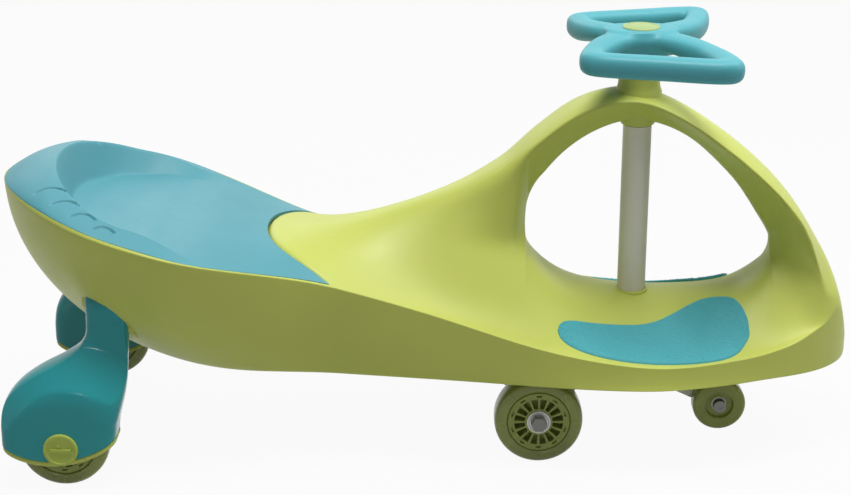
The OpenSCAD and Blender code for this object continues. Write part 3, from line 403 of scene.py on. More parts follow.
# %% Top of the seat: a ledge that climbs to a ridge, a steep wall and a shallow floor
ridge_line = [[tail_x, 7], [tail_x + 20, 23.5], [tail_x + 50, 25], [tail_x + 66, 20.5], [tail_x + 86, 15.5],
    [tail_x + 107, 11.5], [seat_x - 20, 10.5], [seat_x - 8, 9.7], [seat_x + 4, 7.7], [seat_x + 15, 5.2],
    [seat_x + 38, 0.5], [seat_x + 52, 0]]
dish_line = [[tail_x + 50, 33], [tail_x + 76, 32], [tail_x + 96, 25.5], [seat_x - 24, 18.5], [seat_x, 12],
    [seat_x + 26, 4], [seat_x + 41, 0]]


def dish_half(x):
    return mix(dish_wide, half_w(x), ease(dish_xc, seat_x + 96, x))


def dish_place(x, y):
    """Under 1 inside the ridge of the dish, over 1 outside it."""
    return (max(0.0, dish_xc - x) / (dish_xc - dish_x0)) ** tail_power + (y / dish_half(x)) ** 2


def rim_place(x, y):
    """Rises from the middle to 1 at the rim."""
    if x < seat_x:
        back = unit((seat_x - x) / (seat_x - tail_x))
        return back ** tail_power + (y / (seat_wide / 2)) ** (1 / tail_round)
    return (y / max(1.0, half_w(x))) ** 1.6


def bell(s):
    """From 1 in the middle to 0 at the side, level at both."""
    return 0.5 + 0.5 * math.cos(math.pi * s)


def dome(x, s):
    return mix(1 - s * s, bell(s), ease(seat_x + 96, hole_back - 60, x))


def top_at(x, s):
    plain = mix(rim(x), crest(x), dome(x, s))
    share = 1 - ease(seat_x, seat_x + 60, x)
    if share == 0:
        return plain
    y = s * half_w(x)
    q, p = dish_place(x, y), min(1.0, rim_place(x, y))
    climb = 1.0 if q <= 1 else ((1 - p) / max(1e-6, (1 - p) + (q - 1))) ** 0.5
    bowl = 0.0 if q >= 1 else 0.86 * (1 - ramp(0.68, 1, q)) + 0.14 * (1 - q)
    seat = rim(x) + curve(ridge_line, x) * climb - max(0.0, curve(dish_line, x)) * bowl
    return mix(plain, seat, share)


def bow(x):
    return tongue * (ease(tail_x, prong_x, x) if x < prong_x else 1 - ease(prong_x, prong_x + 150, x))


def top_point(x, s):
    """Cross lines of the top bow backwards, so one of them is the front edge of the seat."""
    t = x - bow(x) * (1 - s ** 2.2)
    return (t, s * half_w(t), top_at(t, s))


print("ridge over the dish floor:", round(top_at(-320, 0.73) - top_at(-300, 0.0), 1), "mm")

# %% The opening under the arch
floor_line = [[hole_back, deck_rise + 9], [hole_back + 56, deck_rise + 7], [column_x, deck_rise],
    [column_x + 44, deck_rise + 1], [hole_front - 34, deck_rise + 6], [hole_front, deck_rise + 10]]


def in_hole(x):
    return hole_back <= x <= hole_front


def floor_at(x):
    """The deck in the middle, which rises steeply at both ends of the opening."""
    b, u, v = curve(floor_line, x), unit((x - hole_back) / 60), unit((hole_front - x) / 40)
    if u < 1:
        return keel_z + mix(back_tip, b, math.sqrt(1 - (1 - u) ** 2.2))
    return keel_z + mix(front_tip, b, math.sqrt(1 - (1 - v) ** 2.2))


def roof_at(x):
    """The underside of the arch."""
    peak = column_x - 6
    if x < peak:
        u = unit((x - hole_back) / (peak - hole_back))
        return keel_z + mix(back_tip, roof_rise, math.sqrt(1 - (1 - u) ** 1.55))
    u = unit((hole_front - x) / (hole_front - peak))
    return keel_z + mix(front_tip, roof_rise, (1 - (1 - u) ** 2) ** 0.87)


print("opening", round(roof_at(column_x) - floor_at(column_x)), "mm high at the column")

# %% Edges and feet of the arch
wide_line = [[hole_back - 28, 0.92], [hole_back, 1], [column_x, 1], [column_x + 65, 1.25],
    [hole_front - 18, 1.42], [hole_front + 18, 1.52], [hole_front + 36, 1.6], [nose_x - 28, 1.56],
    [merge_x, 1.33]]


def nose_in(x):
    """The edge of the front leg has come down to the rim at the end of this."""
    return ease(hole_front + 16, merge_x, x)


def facet_in(x):
    """The wall under the front leg has run out at the end of this."""
    return ease(hole_front + 14, hole_front + 52, x)


def edge_z(x):
    """Height of the arch's edge, a little below its crest."""
    fall = 7 * mix(1, 1.3, ease(column_x, column_x + 70, x))
    return mix(crest(x) - fall, rim(max(x, merge_x)), nose_in(x) ** 2)


def arch_half(x):
    return min(arch_wide / 2 * curve(wide_line, x), half_w(x))


def soft_min(a, b, k):
    """The smaller of two values, with the corner between them rounded."""
    return max(0.0, (a + b - math.hypot(a - b, k)) / 2)


def waist_half(x):
    """Half the way between the arch's feet: a funnel behind and before the opening."""
    if in_hole(x):
        return 0.0
    if x < hole_back:
        back = hole_back - x
        return soft_min(soft_min(3 * back, 8 * math.sqrt(back), 4), 32 + 0.3 * (back - 16), 3)
    front = x - hole_front
    leg = soft_min(soft_min(2.2 * front, 6.5 * math.sqrt(front), 4), 0.62 * half_w(x), 3)
    return mix(leg, arch_half(x), facet_in(x))


print("arch", round(2 * arch_half(column_x)), "mm wide at the column")


# %% The deck and the sections of the arch
deck_steps = [0.14, 0.3, 0.46, 0.62, 0.8, 1]
side_steps = [0.87, 0.78, 0.69, 0.6, 0.52, 0.44, 0.44, 0.35, 0.26, 0.17, 0.085, 0]
nose_steps = [0.985, 0.97, 0.955, 0.94, 0.92, 0.9, 0.9, 0.87, 0.83, 0.74, 0.42, 0]


def crown_at(x):
    b = keel_z + curve(floor_line, x)
    if x < column_x:
        return mix(crest(x), b, ease(hole_back - 88, hole_back + 56, x))
    return mix(b, crest(x), ease(hole_front - 45, nose_x - 6, x))


def deck_at(x, s):
    return mix(rim(x), mix(floor_at(x), crown_at(x), ease(0, 0.5, s)), bell(s))


def deck_soft(x, s):
    """The deck, evened out along the car where it is away from the middle."""
    d = 14 * ease(0, 0.35, s)
    return (deck_at(x - 2 * d, s) + deck_at(x + 2 * d, s) + 2 * deck_at(x - d, s) + 2 * deck_at(x + d, s)
            + 3 * deck_at(x, s)) / 9


def arch_deck(x, t):
    """A point of the deck, from the rim (t = 0) to the foot of the arch (t = 1)."""
    s0 = waist_half(x) / max(1, half_w(x))
    s = 1 - (1 - s0) * t
    foot = deck_soft(x, s0)
    lift = mix(foot, edge_z(x), 0 if x < hole_front else facet_in(x)) - foot
    return (x, s * half_w(x), deck_soft(x, s) + lift * t * t)


def arch_row(x, k):
    """Row k of a section: six over the deck, then foot, under edge, side, edge, top and crest."""
    if k < 6:
        return arch_deck(x, deck_steps[k])
    y0 = waist_half(x)
    z0 = roof_at(x) if in_hole(x) else arch_deck(x, 1)[2]
    ya, za, top = arch_half(x), edge_z(x), crest(x)
    g = ease(0, 16, min(x - hole_back, hole_front - x)) if in_hole(x) else 0
    yc, zc = mix(y0 + 0.3 * (ya - y0), 12, g), mix(z0 + 0.3 * (za - z0), z0 + 1, g)
    scoop = 3.0 * ease(hole_back - 30, hole_back + 10, x) * (1 - nose_in(x))
    side = (x, mix(yc, ya, 0.5) - scoop, mix(zc, za, 0.5))
    shoulder = (x, 0.52 * ya, mix(za, top, 0.75))
    return [(x, y0, z0), (x, yc, zc), side, (x, ya, za), shoulder, (x, 0, top)][k - 6]


def to_arch(x):
    return ease(hole_back - 88, hole_back - 26, x)


def nose_point(x, s):
    """Past the leg all rows run together in one rounded nose."""
    return (x, s * half_w(x), mix(rim(x), crest(x), (1 - s * s) ** 0.6))


def to_nose(x):
    return ease(hole_front + 32, merge_x, x)


def upper_row(x, k):
    arch = mix_points(top_point(x, side_steps[k]), arch_row(x, k), to_arch(x))
    return mix_points(arch, nose_point(x, nose_steps[k]), to_nose(x))


def seated(x):
    """Whether the seat lies over this station."""
    return tail_x + seat_lip < x <= prong_x


def lip_row(x, n):
    s = 1 - min(0.3, (1 if seated(x) else n) * seat_lip / max(1, half_w(x)))
    lip = mix_points(top_point(x, s), arch_deck(x, 0.03 * n), to_arch(x))
    return mix_points(lip, nose_point(x, 1 - 0.005 * n), to_nose(x))


def side_wall(x, t):
    """A point of the side, from its lower edge (t = 0) to the rim (t = 1)."""
    across = 0.5 * t + 0.5 * math.sin(math.pi / 2 * t)
    up = 0.5 * t + 0.5 * (1 - math.cos(math.pi / 2 * t))
    return (x, mix(half_b(x), half_w(x), across), mix(keel(x) - skirt(x), rim(x), up))


print("arch top", round(crest(column_x)), "mm, deck", round(floor_at(column_x)), "mm above the ground")

# %% [markdown]
# ## The moulded body
# On the real car the body is one blow-moulded shell. It could be sculpted or cut from a block, but
# its edges have to stay clean over the whole length. So two sheets are laid out with the grid
# operator: one from the keel up the side and over the deck, one over the arch. They meet along the
# foot of the arch, and where the opening is they part. Mirrored, welded and subdivided they make one
# skin. The rim and the edges of the arch get a crease, so subdivision keeps them crisp.

# %% Laying a sheet with the grid operator
def run(a, b, n, p=1.0):
    """Places from a up to b, without b itself; p over 1 crowds them near a."""
    return [mix(a, b, (k / n) ** p) for k in range(n)]


def back_run(a, b, n, p):
    """Places after a up to and with b, crowded near b."""
    return [mix(b, a, (k / n) ** p) for k in range(n - 1, -1, -1)]


def sheet(bm, us, vs, place):
    """A grid of quads whose corners are put where the lines us and vs cross on the surface."""
    nu, nv = len(us) - 1, len(vs) - 1
    made = bmesh.ops.create_grid(bm, x_segments=nu, y_segments=nv, size=1.0)["verts"]
    for v in made:
        i, j = round((v.co.x + 1) * nu / 2), round((v.co.y + 1) * nv / 2)
        v.co = place(us[i], vs[j])
    return made


def corners(geom):
    return [g for g in geom if isinstance(g, bmesh.types.BMVert)]


def add_mirrored(bm):
    """Add a copy of everything on the other side of the car."""
    copy = bmesh.ops.duplicate(bm, geom=bm.verts[:] + bm.edges[:] + bm.faces[:])["geom"]
    bmesh.ops.scale(bm, vec=(1, -1, 1), verts=corners(copy))


def drop_walls(bm, depth):
    """Give a sheet its thickness: a wall goes down all round its edge."""
    wall = bmesh.ops.extrude_edge_only(bm, edges=[e for e in bm.edges if e.is_boundary])["geom"]
    bmesh.ops.translate(bm, vec=(0, 0, -depth), verts=corners(wall))


def face_up(bm):
    bmesh.ops.recalc_face_normals(bm, faces=bm.faces)
    if sum(f.normal.z for f in bm.faces) < 0:
        bmesh.ops.reverse_faces(bm, faces=bm.faces)


def weld(bm, side=1, reach=0.02):
    """Close the seams of a wrapped sheet, put it on its side of the car and turn its faces outwards."""
    bmesh.ops.remove_doubles(bm, verts=bm.verts, dist=reach)
    bmesh.ops.scale(bm, vec=(1, side, 1), verts=bm.verts)
    bmesh.ops.recalc_face_normals(bm, faces=bm.faces)


def piece(name, bm, finish, body, nodes=(), sharp=None):
    """Turn a bmesh in millimetres into a finished piece of the car that rides on a body."""
    bmesh.ops.scale(bm, vec=(0.001, 0.001, 0.001), verts=bm.verts)
    mesh = bpy.data.meshes.new(name)
    bm.to_mesh(mesh)
    bm.free()
    mesh.shade_smooth()
    if sharp:
        mesh.set_sharp_from_angle(angle=math.radians(sharp))
    made = bpy.data.objects.new(name, mesh)
    bpy.context.collection.objects.link(made)
    mesh.materials.append(finish)
    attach(made, body)
    if nodes:
        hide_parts(*nodes)
    print(name, "has", len(mesh.polygons), "faces")
    return made


def subdivide(made, levels):
    mod = made.modifiers.new("smooth_skin", "SUBSURF")
    mod.levels = mod.render_levels = levels
    mod.boundary_smooth = "PRESERVE_CORNERS"


# %% The body's rows and stations
low_rows = [("keel", t) for t in (0, 0.35, 0.7, 0.93)]
low_rows += [("side", t) for t in (0, 0.12, 0.3, 0.42, 0.54, 0.66, 0.78, 0.88, 0.96, 1)]
low_rows += [("lip", 1), ("lip", 2)] + [("top", k) for k in range(6)]
high_rows = [("top", k) for k in range(6, 12)]
stations = ([tail_x, tail_x + 0.9, tail_x + 2.5] + run(tail_x + 4.3, seat_x - 45, 9, 1.6)
    + run(seat_x - 45, prong_x, 13) + [prong_x, prong_x + 0.5] + run(prong_x + 12, hole_back - 34, 8)
    + back_run(hole_back - 34, hole_back, 6, 2) + run(hole_back + 0.6, column_x - 40, 8, 1.8)
    + run(column_x - 40, hole_front - 52, 7) + back_run(hole_front - 52, hole_front, 8, 1.8)
    + run(hole_front + 0.6, nose_x - 44, 6, 1.7) + run(nose_x - 44, merge_x, 6) + [merge_x]
    + back_run(merge_x, nose_x, 5, 1.7))
swell_x, swell_z, swell_out = -291.0, 155.6, 14.0
ledge_sink, bed_sink = 3.4, 8.0


def swelling(x, z):
    """The side bulges softly where an arm plugs in."""
    along, up = (x - swell_x) / 27, (z - swell_z + 0.6 * (x - swell_x)) / 24
    return swell_out * math.exp(-(along ** 4) - up ** 4)


def body_point(x, row):
    kind, t = row
    if kind == "keel":
        return (x, t * half_b(x), keel(x) - skirt(x) * ease(nose_x - 14, nose_x, x))
    if kind == "side":
        wall = side_wall(x, t)
        return (x, wall[1] + swelling(x, wall[2]), wall[2])
    p = lip_row(x, t) if kind == "lip" else upper_row(x, t)
    sink = 0.0
    if seated(x) and (kind, t) != ("lip", 1):
        sink = ledge_sink if kind == "lip" else bed_sink
    return (p[0], p[1], p[2] - sink)


print(len(stations), "stations of", len(low_rows) + len(high_rows), "rows")

# %% The body shell
bm = bmesh.new()
row_mark = bm.verts.layers.int.new("row")
first_high = 100
for rows, first in ((low_rows, 0), (high_rows, first_high)):
    for v in sheet(bm, stations, list(range(len(rows))), lambda x, j: Vector((x, j, 0))):
        j = round(v.co.y)
        v[row_mark] = first + j
        v.co = body_point(v.co.x, rows[j])
add_mirrored(bm)
bmesh.ops.remove_doubles(bm, verts=bm.verts, dist=0.02)
bmesh.ops.dissolve_degenerate(bm, edges=bm.edges, dist=0.02)
bmesh.ops.recalc_face_normals(bm, faces=bm.faces)
crease = bm.edges.layers.float.new("crease_edge")
rim_row, lip_edge = low_rows.index(("side", 1)), low_rows.index(("lip", 1))
under_edge, arch_edge = first_high + 1, first_high + 3
for e in bm.edges:
    a, b = e.verts
    if a[row_mark] != b[row_mark]:
        continue
    row, x = a[row_mark], (a.co.x + b.co.x) / 2
    if row == rim_row and x < merge_x:
        e[crease] = 0.80 * (1 - ease(nose_x - 38, merge_x, x))
    elif row == lip_edge and seated(x):
        e[crease] = 0.75
    elif row == arch_edge and hole_back - 40 < x < hole_front + 54:
        fade = 1 - ease(hole_front + 12, hole_front + 54, x)
        e[crease] = 0.78 * ease(hole_back - 40, hole_back + 40, x) * fade
    elif row == under_edge and hole_back + 10 < x < hole_front - 4:
        e[crease] = 0.45
body_shell = piece("body_moulding", bm, body_green, "body", ["body_shell"])
subdivide(body_shell, 2)

# %% [markdown]
# ## The seat
# A separate teal panel lies in a bed of the body: a ledge climbs from the rim to a ridge, and a steep
# wall drops to the floor of the dish. It could be cut out of the body's skin, but the four crescent
# grooves on each side of the ledge need a finer mesh. So a grid of its own follows that surface, the
# grooves are pressed into it, and the panel gets its thickness last.

# %% The seat panel with its grooves
grooves = [((-353, 84), (-338, 70), (-322, 82)), ((-334.5, 101), (-322, 89), (-309, 99)),
    ((-315.5, 115), (-305, 103), (-294, 113)), ((-294.5, 126), (-286, 114), (-276, 125))]
groove_deep, groove_end, panel_thick = 2.8, -262.0, 3.0
tail_gap = seat_lip + 0.45


def groove_depth(x, y):
    """How far a groove is pressed in at a place of the ledge."""
    deepest = 0.0
    for a, b, c in grooves:
        if not (a[0] - 4 < x < c[0] + 4 and b[1] < abs(y) < a[1] + 5):
            continue
        for k in range(25):
            t = k / 24
            gx = (1 - t) ** 2 * a[0] + 2 * t * (1 - t) * b[0] + t * t * c[0]
            gy = (1 - t) ** 2 * a[1] + 2 * t * (1 - t) * b[1] + t * t * c[1]
            reach = math.hypot(x - gx, abs(y) - gy)
            deepest = max(deepest, (1 - ease(0.4, 1.7, reach)) * ease(0, 0.2, min(t, 1 - t) + 0.08))
    return groove_deep * deepest


def seat_place(x, f):
    e = 1 - (seat_lip + seat_gap) / half_w(x)
    px, py, pz = top_point(x, e * abs(f))
    dip = groove_depth(px, py) if px < groove_end else 0.0
    return (px, math.copysign(py, f), pz - dip)


bm = bmesh.new()
front_edge = prong_x - seat_gap
seat_lines = run(tail_x + tail_gap, seat_x, 210, 1.25) + run(seat_x, front_edge, 50) + [front_edge]
across = [k / 150 for k in range(-150, 151)]
sheet(bm, seat_lines, across, seat_place)
face_up(bm)
drop_walls(bm, panel_thick)
bmesh.ops.recalc_face_normals(bm, faces=bm.faces)
piece("seat_dish_panel", bm, seat_teal, "body", ["seat_panel"], sharp=50)

# %% [markdown]
# ## The foot pads
# Two soft rubber pads lie on the deck. Their outline is a bean shape; the top follows the deck, is
# rounded at the edge and is covered with small pebbles. A bump in the material could stand for them,
# but they show at the pad's edge, so they are real relief: a fine grid lifted by cells of noise.

# %% Outline of a pad
pad_inner = [[-75, 80], [-73, 73], [-67, 67], [-56, 63], [-30, 60], [0, 57], [18, 52], [34, 43],
    [50, 33], [64, 26], [78, 25], [90, 30], [98, 41], [103, 55], [103.5, 64]]
pad_outer = [[-75, 80], [-73, 87], [-65, 94.5], [-49, 101.5], [-26, 106.5], [5, 108.5], [34, 107],
    [58, 103.5], [77, 97.5], [90, 88], [98, 77], [102.5, 69], [103.5, 64]]
pad_back, pad_long = pad_inner[0][0], pad_inner[-1][0] - pad_inner[0][0]
pad_thick, pad_sunk, pad_round, pad_wall = 2.3, 0.4, 2.2, 1.2
pebble_apart, pebble_high = 2.6, 1.35


def pebbles(x, y):
    """Small rounded bumps: the height grows with the distance from the border of a noise cell."""
    near = noise.voronoi(Vector((x / pebble_apart, y / pebble_apart, 0.0)))[0]
    return pebble_high * unit(1.4 * (near[1] - near[0])) ** 0.7


def pad_place(u, v):
    """A point of the pad's top: u runs along the car, v from the inner to the outer line."""
    x = pad_back + pad_long * u
    inner, outer = curve(pad_inner, x), curve(pad_outer, x)
    y = mix(inner, outer, v)
    edge = min(min(v, 1 - v) * (outer - inner), pad_long * min(u, 1 - u) * 1.4)
    round_off = 1 - math.sqrt(max(0.0, 1 - (1 - unit(edge / pad_round)) ** 2))
    deck = deck_soft(column_x + x, y / half_w(column_x + x))
    relief = pebbles(x, y) * ease(0.5, 3, edge)
    return (column_x + x, y, deck + pad_thick * (1 - round_off) - pad_sunk + relief)


print("pad", pad_long, "mm long")


# %% Both pads
us = [0.5 - 0.5 * math.cos(math.pi * k / 230) for k in range(231)]
vs = [0, 0.008, 0.02, 0.04] + [0.04 + 0.92 * k / 105 for k in range(1, 105)]
vs += [0.96, 0.98, 0.992, 1]
sides = ((-1, "right"), (1, "left"))
for side, name in sides:
    bm = bmesh.new()
    sheet(bm, us, vs, pad_place)
    bmesh.ops.remove_doubles(bm, verts=bm.verts, dist=0.01)
    drop_walls(bm, pad_wall)
    bmesh.ops.scale(bm, vec=(1, side, 1), verts=bm.verts)
    face_up(bm)
    piece("pebbled_pad_" + name, bm, pad_teal, "body", ["foot_pad_" + name])

# %% [markdown]
# ## The steering wheel
# A butterfly of two grip loops that grow out of a broad flat hub. Joined with a boolean they would
# meet in hard seams, but the real wheel is one soft moulding. So the loops are swept along their path,
# a hub is laid between them, and a fine remesh with smoothing melts them together.

# %% Path and thickness of a grip loop
wheel_z = 374.5
half_loop = [(0, 11), (-22, 17), (-41, 42), (-50, 70), (-43, 84), (5, 97), (58, 110), (65, 97),
    (52, 52), (24, 18)]


def closed_curve(points, n):
    """A smooth closed line through a few points, with n steps between neighbours."""
    line, m = [], len(points)
    for i in range(m):
        a, b, c, d = points[i - 1], points[i], points[(i + 1) % m], points[(i + 2) % m]
        for k in range(n):
            u = k / n
            line.append(tuple(0.5 * (2 * q + (r - o) * u + (2 * o - 5 * q + 4 * r - s) * u**2
                + (3 * q - o - 3 * r + s) * u**3) for o, q, r, s in zip(a, b, c, d)))
    return line


loop_line = closed_curve(half_loop, 8)
print("grip loop of", len(loop_line), "steps")


def loop_place(i, a):
    """A point round the grip: broad and flat near the hub, nearly round at the hand."""
    m = len(loop_line)
    p, before, after = loop_line[i % m], loop_line[i % m - 1], loop_line[(i + 1) % m]
    d = Vector((after[0] - before[0], after[1] - before[1])).normalized()
    hub = 1 - ease(16, 62, p[1])
    wide, thick = mix(11.6, 14.5, hub), mix(10.6, 8.5, hub)
    c, s = math.cos(a), math.sin(a)
    c, s = math.copysign(abs(c) ** 0.72, c), math.copysign(abs(s) ** 0.72, s)
    z = wheel_z + mix(2.4, 7, hub) + thick * s
    return (column_x + p[0] + d.y * wide * c, p[1] - d.x * wide * c, z)


# %% Sweep, hub and remesh
bm = bmesh.new()
turns = [math.pi * k / 12 for k in range(25)]
sheet(bm, list(range(len(loop_line) + 1)), turns, loop_place)
add_mirrored(bm)
for wide, long, thick, low in ((37, 24, 11.5, 5.5), (20.5, 20.5, 14, -12.0)):
    hub = bmesh.ops.create_cone(bm, cap_ends=True, segments=64, radius1=1, radius2=0.94 if low > 0 else 1,
        depth=2)["verts"]
    bmesh.ops.scale(bm, vec=(wide, long, thick), verts=hub)
    bmesh.ops.translate(bm, vec=(column_x, 0, wheel_z + low + 0.2), verts=hub)
weld(bm, reach=0.01)


def melted(bm, voxel, rounds):
    """Remesh overlapping shapes into one skin, smooth it, and return it as a new bmesh."""
    mesh = bpy.data.meshes.new("melting")
    bm.to_mesh(mesh)
    bm.free()
    rough = bpy.data.objects.new("melting", mesh)
    bpy.context.collection.objects.link(rough)
    join = rough.modifiers.new("join", "REMESH")
    join.mode, join.voxel_size = "VOXEL", voxel
    calm = rough.modifiers.new("calm", "SMOOTH")
    calm.factor, calm.iterations = 0.5, rounds
    done = bmesh.new()
    done.from_mesh(rough.evaluated_get(bpy.context.evaluated_depsgraph_get()).to_mesh())
    bpy.data.objects.remove(rough)
    return done


bm = melted(bm, 1.7, 10)
piece("butterfly_wheel", bm, wheel_teal, "steering", ["steering_wheel"])

# %% [markdown]
# ## Turned shapes
# Caps, collars, bosses and the column's sleeve are round. They could be stacks of cylinders with
# bevels, but one short profile turned about its axis with spin has every step and rounding in it.

# %% Turning a profile
def turned(bm, profile, axis, centre, steps=72):
    """Spin a profile of (radius, height) about an axis through a centre point."""
    axis = Vector(axis)
    out = Vector((1, 0, 0))
    chain = [bm.verts.new(Vector(centre) + out * r + axis * h) for r, h in profile]
    edges = [bm.edges.new(pair) for pair in zip(chain, chain[1:])]
    bmesh.ops.spin(bm, geom=chain + edges, cent=centre, axis=axis, dvec=(0, 0, 0),
        angle=2 * math.pi, steps=steps, use_merge=True, use_duplicate=False)
    weld(bm, reach=0.005)


def on_column(name, profile, finish, body, node):
    """A piece turned about the steering column."""
    bm = bmesh.new()
    turned(bm, profile, (0, 0, 1), (column_x, 0, 0))
    piece(name, bm, finish, body, [node], sharp=40)


def block(bm, size, centre, edge):
    """A small block with rounded edges."""
    cube = bmesh.ops.create_cube(bm, size=1.0)["verts"]
    bmesh.ops.scale(bm, vec=size, verts=cube)
    bmesh.ops.translate(bm, vec=centre, verts=cube)
    edges = list({e for v in cube for e in v.link_edges})
    bmesh.ops.bevel(bm, geom=edges, offset=edge, offset_type="OFFSET", segments=2, profile=0.5,
        affect="EDGES", material=-1)


# %% Neck collar on the arch and the boss under it
on_column("flared_collar", [(6.4, 326), (6.4, 348.4), (17.6, 348.4), (18.6, 347.9), (19.0, 346.8),
    (19.1, 341.0), (19.5, 338.0), (20.2, 335.5), (21.2, 333.0), (21.6, 326), (6.4, 326)],
    body_green, "body", "neck_collar")
on_column("arch_boss", [(6.4, 326), (6.4, 301.7), (13.8, 301.6), (15.4, 302.2), (16, 303.6), (16, 326),
    (6.4, 326)], body_green, "body", "arch_bush")

# %% Painted sleeve of the column and the socket in the deck that it turns in
on_column("painted_sleeve", [(6.3, 136), (12.7, 136), (13.2, 136.5), (13.2, 300.6), (12.7, 301.1),
    (6.3, 301.1), (6.3, 136)], sleeve_grey, "steering", "column_sleeve")
on_column("deck_socket", [(6.4, 88), (6.4, 135.6), (13.5, 135.6), (13.5, 140.3), (14.0, 140.8),
    (14.8, 140.7), (15.4, 140.0), (15.6, 138), (15.6, 88), (6.4, 88)],
    body_green, "body", "deck_bush")

# %% Cap over the nut of the steering wheel
on_column("hub_cover", [(0, 392.9), (11.8, 392.9), (12.5, 392.55), (13.4, 392.55), (14.1, 392.9),
    (15.6, 393.1), (16.7, 392.8), (17.3, 392.0), (17.3, 391.4), (14.9, 391.4), (14.9, 386), (12.6, 386),
    (12.6, 391), (0, 391)], cover_lime, "steering", "steering_cap")

# %% [markdown]
# ## The rear arms
# Each rear wheel stands under a glossy arm: a neck plugs into the body and widens into a fender.
# The fender's outer side is a flat panel with an arched top, and above that edge the surface leans
# inwards to the neck. A box with a boolean well would need its edges rounded by hand. Here one sheet
# is wrapped round the arm's sections, from the neck down, and goes on inside as the wheel well.

# %% Sections of an arm
axle_x, axle_z, rear_wheel_y = -331.0, 41.0, 125.5
panel_y, neck_y, panel_radius = 150.0, 117.5, 53.0
hem_low, hem_fade, well_radius, well_half = 29.0, 34.0, 44.0, 17.0
arm_sections = [[23, -55, 47.5, 101, 150], [42, -55, 48.5, 101, 150], [61, -54.5, 50, 101, 150],
    [75, -52.5, 53.5, 101, 150], [87, -47, 56.5, 100.5, 149.5], [99, -36, 58.5, 98, 147],
    [109, -20, 59, 95, 143], [118, 0, 59, 92, 137], [127, 15, 59, 89.5, 129], [136, 20.5, 59, 87.5, 121],
    [150, 21.5, 59, 86, 117], [168, 21.5, 59, 86, 116.5], [186, 21.5, 59, 80, 96]]
section_lines = [[[s[0], s[k]] for s in arm_sections] for k in range(1, 5)]


def oval(z, a, grow=0.0, power=None):
    """A point round the arm at a height: nearly a box below, rounder at the shoulder."""
    x0, x1, y0, y1 = (curve(line, z) for line in section_lines)
    p = power or mix(mix(5, 2.5, ease(60, 98, z)), 3.4, ease(125, 150, z))
    c, s = math.cos(a), math.sin(a)
    out = (abs(c) ** p + abs(s) ** p) ** (-1 / p)
    x = axle_x + (x0 + x1) / 2 + ((x1 - x0) / 2 + grow) * c * out
    return (x, (y0 + y1) / 2 + ((y1 - y0) / 2 + grow) * s * out)


def hem(x):
    """Height of the arm's lower edge: lowest under the axle, higher at both ends."""
    return hem_low + 15 * ((x - axle_x + 8) / 50) ** 2


def follow_hem(x, z):
    """A level near the lower edge follows it, and levels higher up are flat."""
    return z + (hem(x) - hem_low) * (1 - unit((z - hem_low) / hem_fade))


def arm_place(level, a):
    """Outside, the panel leans in past an arc round the axle; inside is the wheel well."""
    kind, z = level
    if kind == "out":
        x, y = oval(z, a)
        past = math.hypot(x - axle_x - 6, max(0.0, z - axle_z)) - panel_radius
        lean_in = panel_y - neck_y - 0.45 * (past + math.hypot(past, 1.6))
        y = min(y, neck_y + 0.5 * (lean_in + math.hypot(lean_in, 3.0)))
        return (x, y, follow_hem(x, z))
    reach = math.sqrt(max(1.0, well_radius**2 - max(0.0, z - axle_z) ** 2))
    c, s = math.cos(a), math.sin(a)
    out = (c**10 + s**10) ** -0.1
    x = axle_x + reach * c * out
    return (x, rear_wheel_y + well_half * s * out, follow_hem(x, z))


arm_levels = [("out", z) for z in [186, *range(170, 130, -4), *range(128, 30, -2), 30, 29.2]]
arm_levels += [("in", z) for z in [29.2, 32, *range(38, 84, 5), 84.5]]
print(len(arm_levels), "levels round an arm")

# %% Arms and bands
band_levels = [(3, -1.8), (-0.2, -1.8), (-0.6, -0.9), (-1.4, -0.5), (-3.8, -0.5), (-4.6, -0.9), (-5, -1.8),
    (-5, -5.4), (-4.4, -6.2), (3, -6.2)]
round_arm = [math.pi * k / 80 for k in range(161)]


def band_place(level, a):
    x, y = oval(42, a, grow=level[1])
    return (x, y, hem(x) + level[0])


for side, name in sides:
    bm = bmesh.new()
    sheet(bm, arm_levels, round_arm, arm_place)
    bmesh.ops.remove_doubles(bm, verts=bm.verts, dist=0.02)
    bmesh.ops.holes_fill(bm, edges=[e for e in bm.edges if e.is_boundary], sides=0)
    weld(bm, side)
    piece("rear_arm_skin_" + name, bm, arm_teal, "body", ["rear_arm_" + name], sharp=55)
    bm = bmesh.new()
    sheet(bm, band_levels, round_arm, band_place)
    weld(bm, side)
    piece("fender_hem_" + name, bm, body_green, "body", ["fender_band_" + name], sharp=40)

# %% Rolled lips round the sockets, and the axle caps
lip_levels = [(0.5, 8), (0.6, 0.5), (1.4, -1.4), (2.8, -2.0), (4.2, -1.2), (5.0, 1.0), (5.0, 6), (3.0, 14),
    (-0.5, 24), (-5, 34), (-11, 46), (-16, 56)]
cap_profile = [(0, 151.0), (11.8, 151.0), (12.4, 151.4), (12.9, 152.1), (14.3, 152.2), (15.2, 151.8),
    (15.6, 150.8), (15.6, 146.6), (0, 146.6)]


def lip_place(level, a):
    x, y = oval(180, a, grow=level[0], power=3.4)
    return (x, y, 148 + level[1] + 0.65 * (y - 86) - 0.62 * (x - axle_x - 21.5))


for side, name in sides:
    bm = bmesh.new()
    sheet(bm, lip_levels, [math.pi * k / 32 for k in range(65)], lip_place)
    weld(bm, side)
    piece("socket_lip_" + name, bm, body_green, "body")
    bm = bmesh.new()
    turned(bm, cap_profile, (0, 1, 0), (axle_x, 0, axle_z))
    block(bm, (19, 2.0, 3.4), (axle_x, 151.3, axle_z), 0.5)
    block(bm, (3.2, 1.8, 3.0), (axle_x - 1.4, 151.2, axle_z + 4.6), 0.5)
    bmesh.ops.scale(bm, vec=(1, side, 1), verts=bm.verts)
    bmesh.ops.recalc_face_normals(bm, faces=bm.faces)
    piece("axle_cover_" + name, bm, lime, "body", ["axle_cap_" + name], sharp=35)

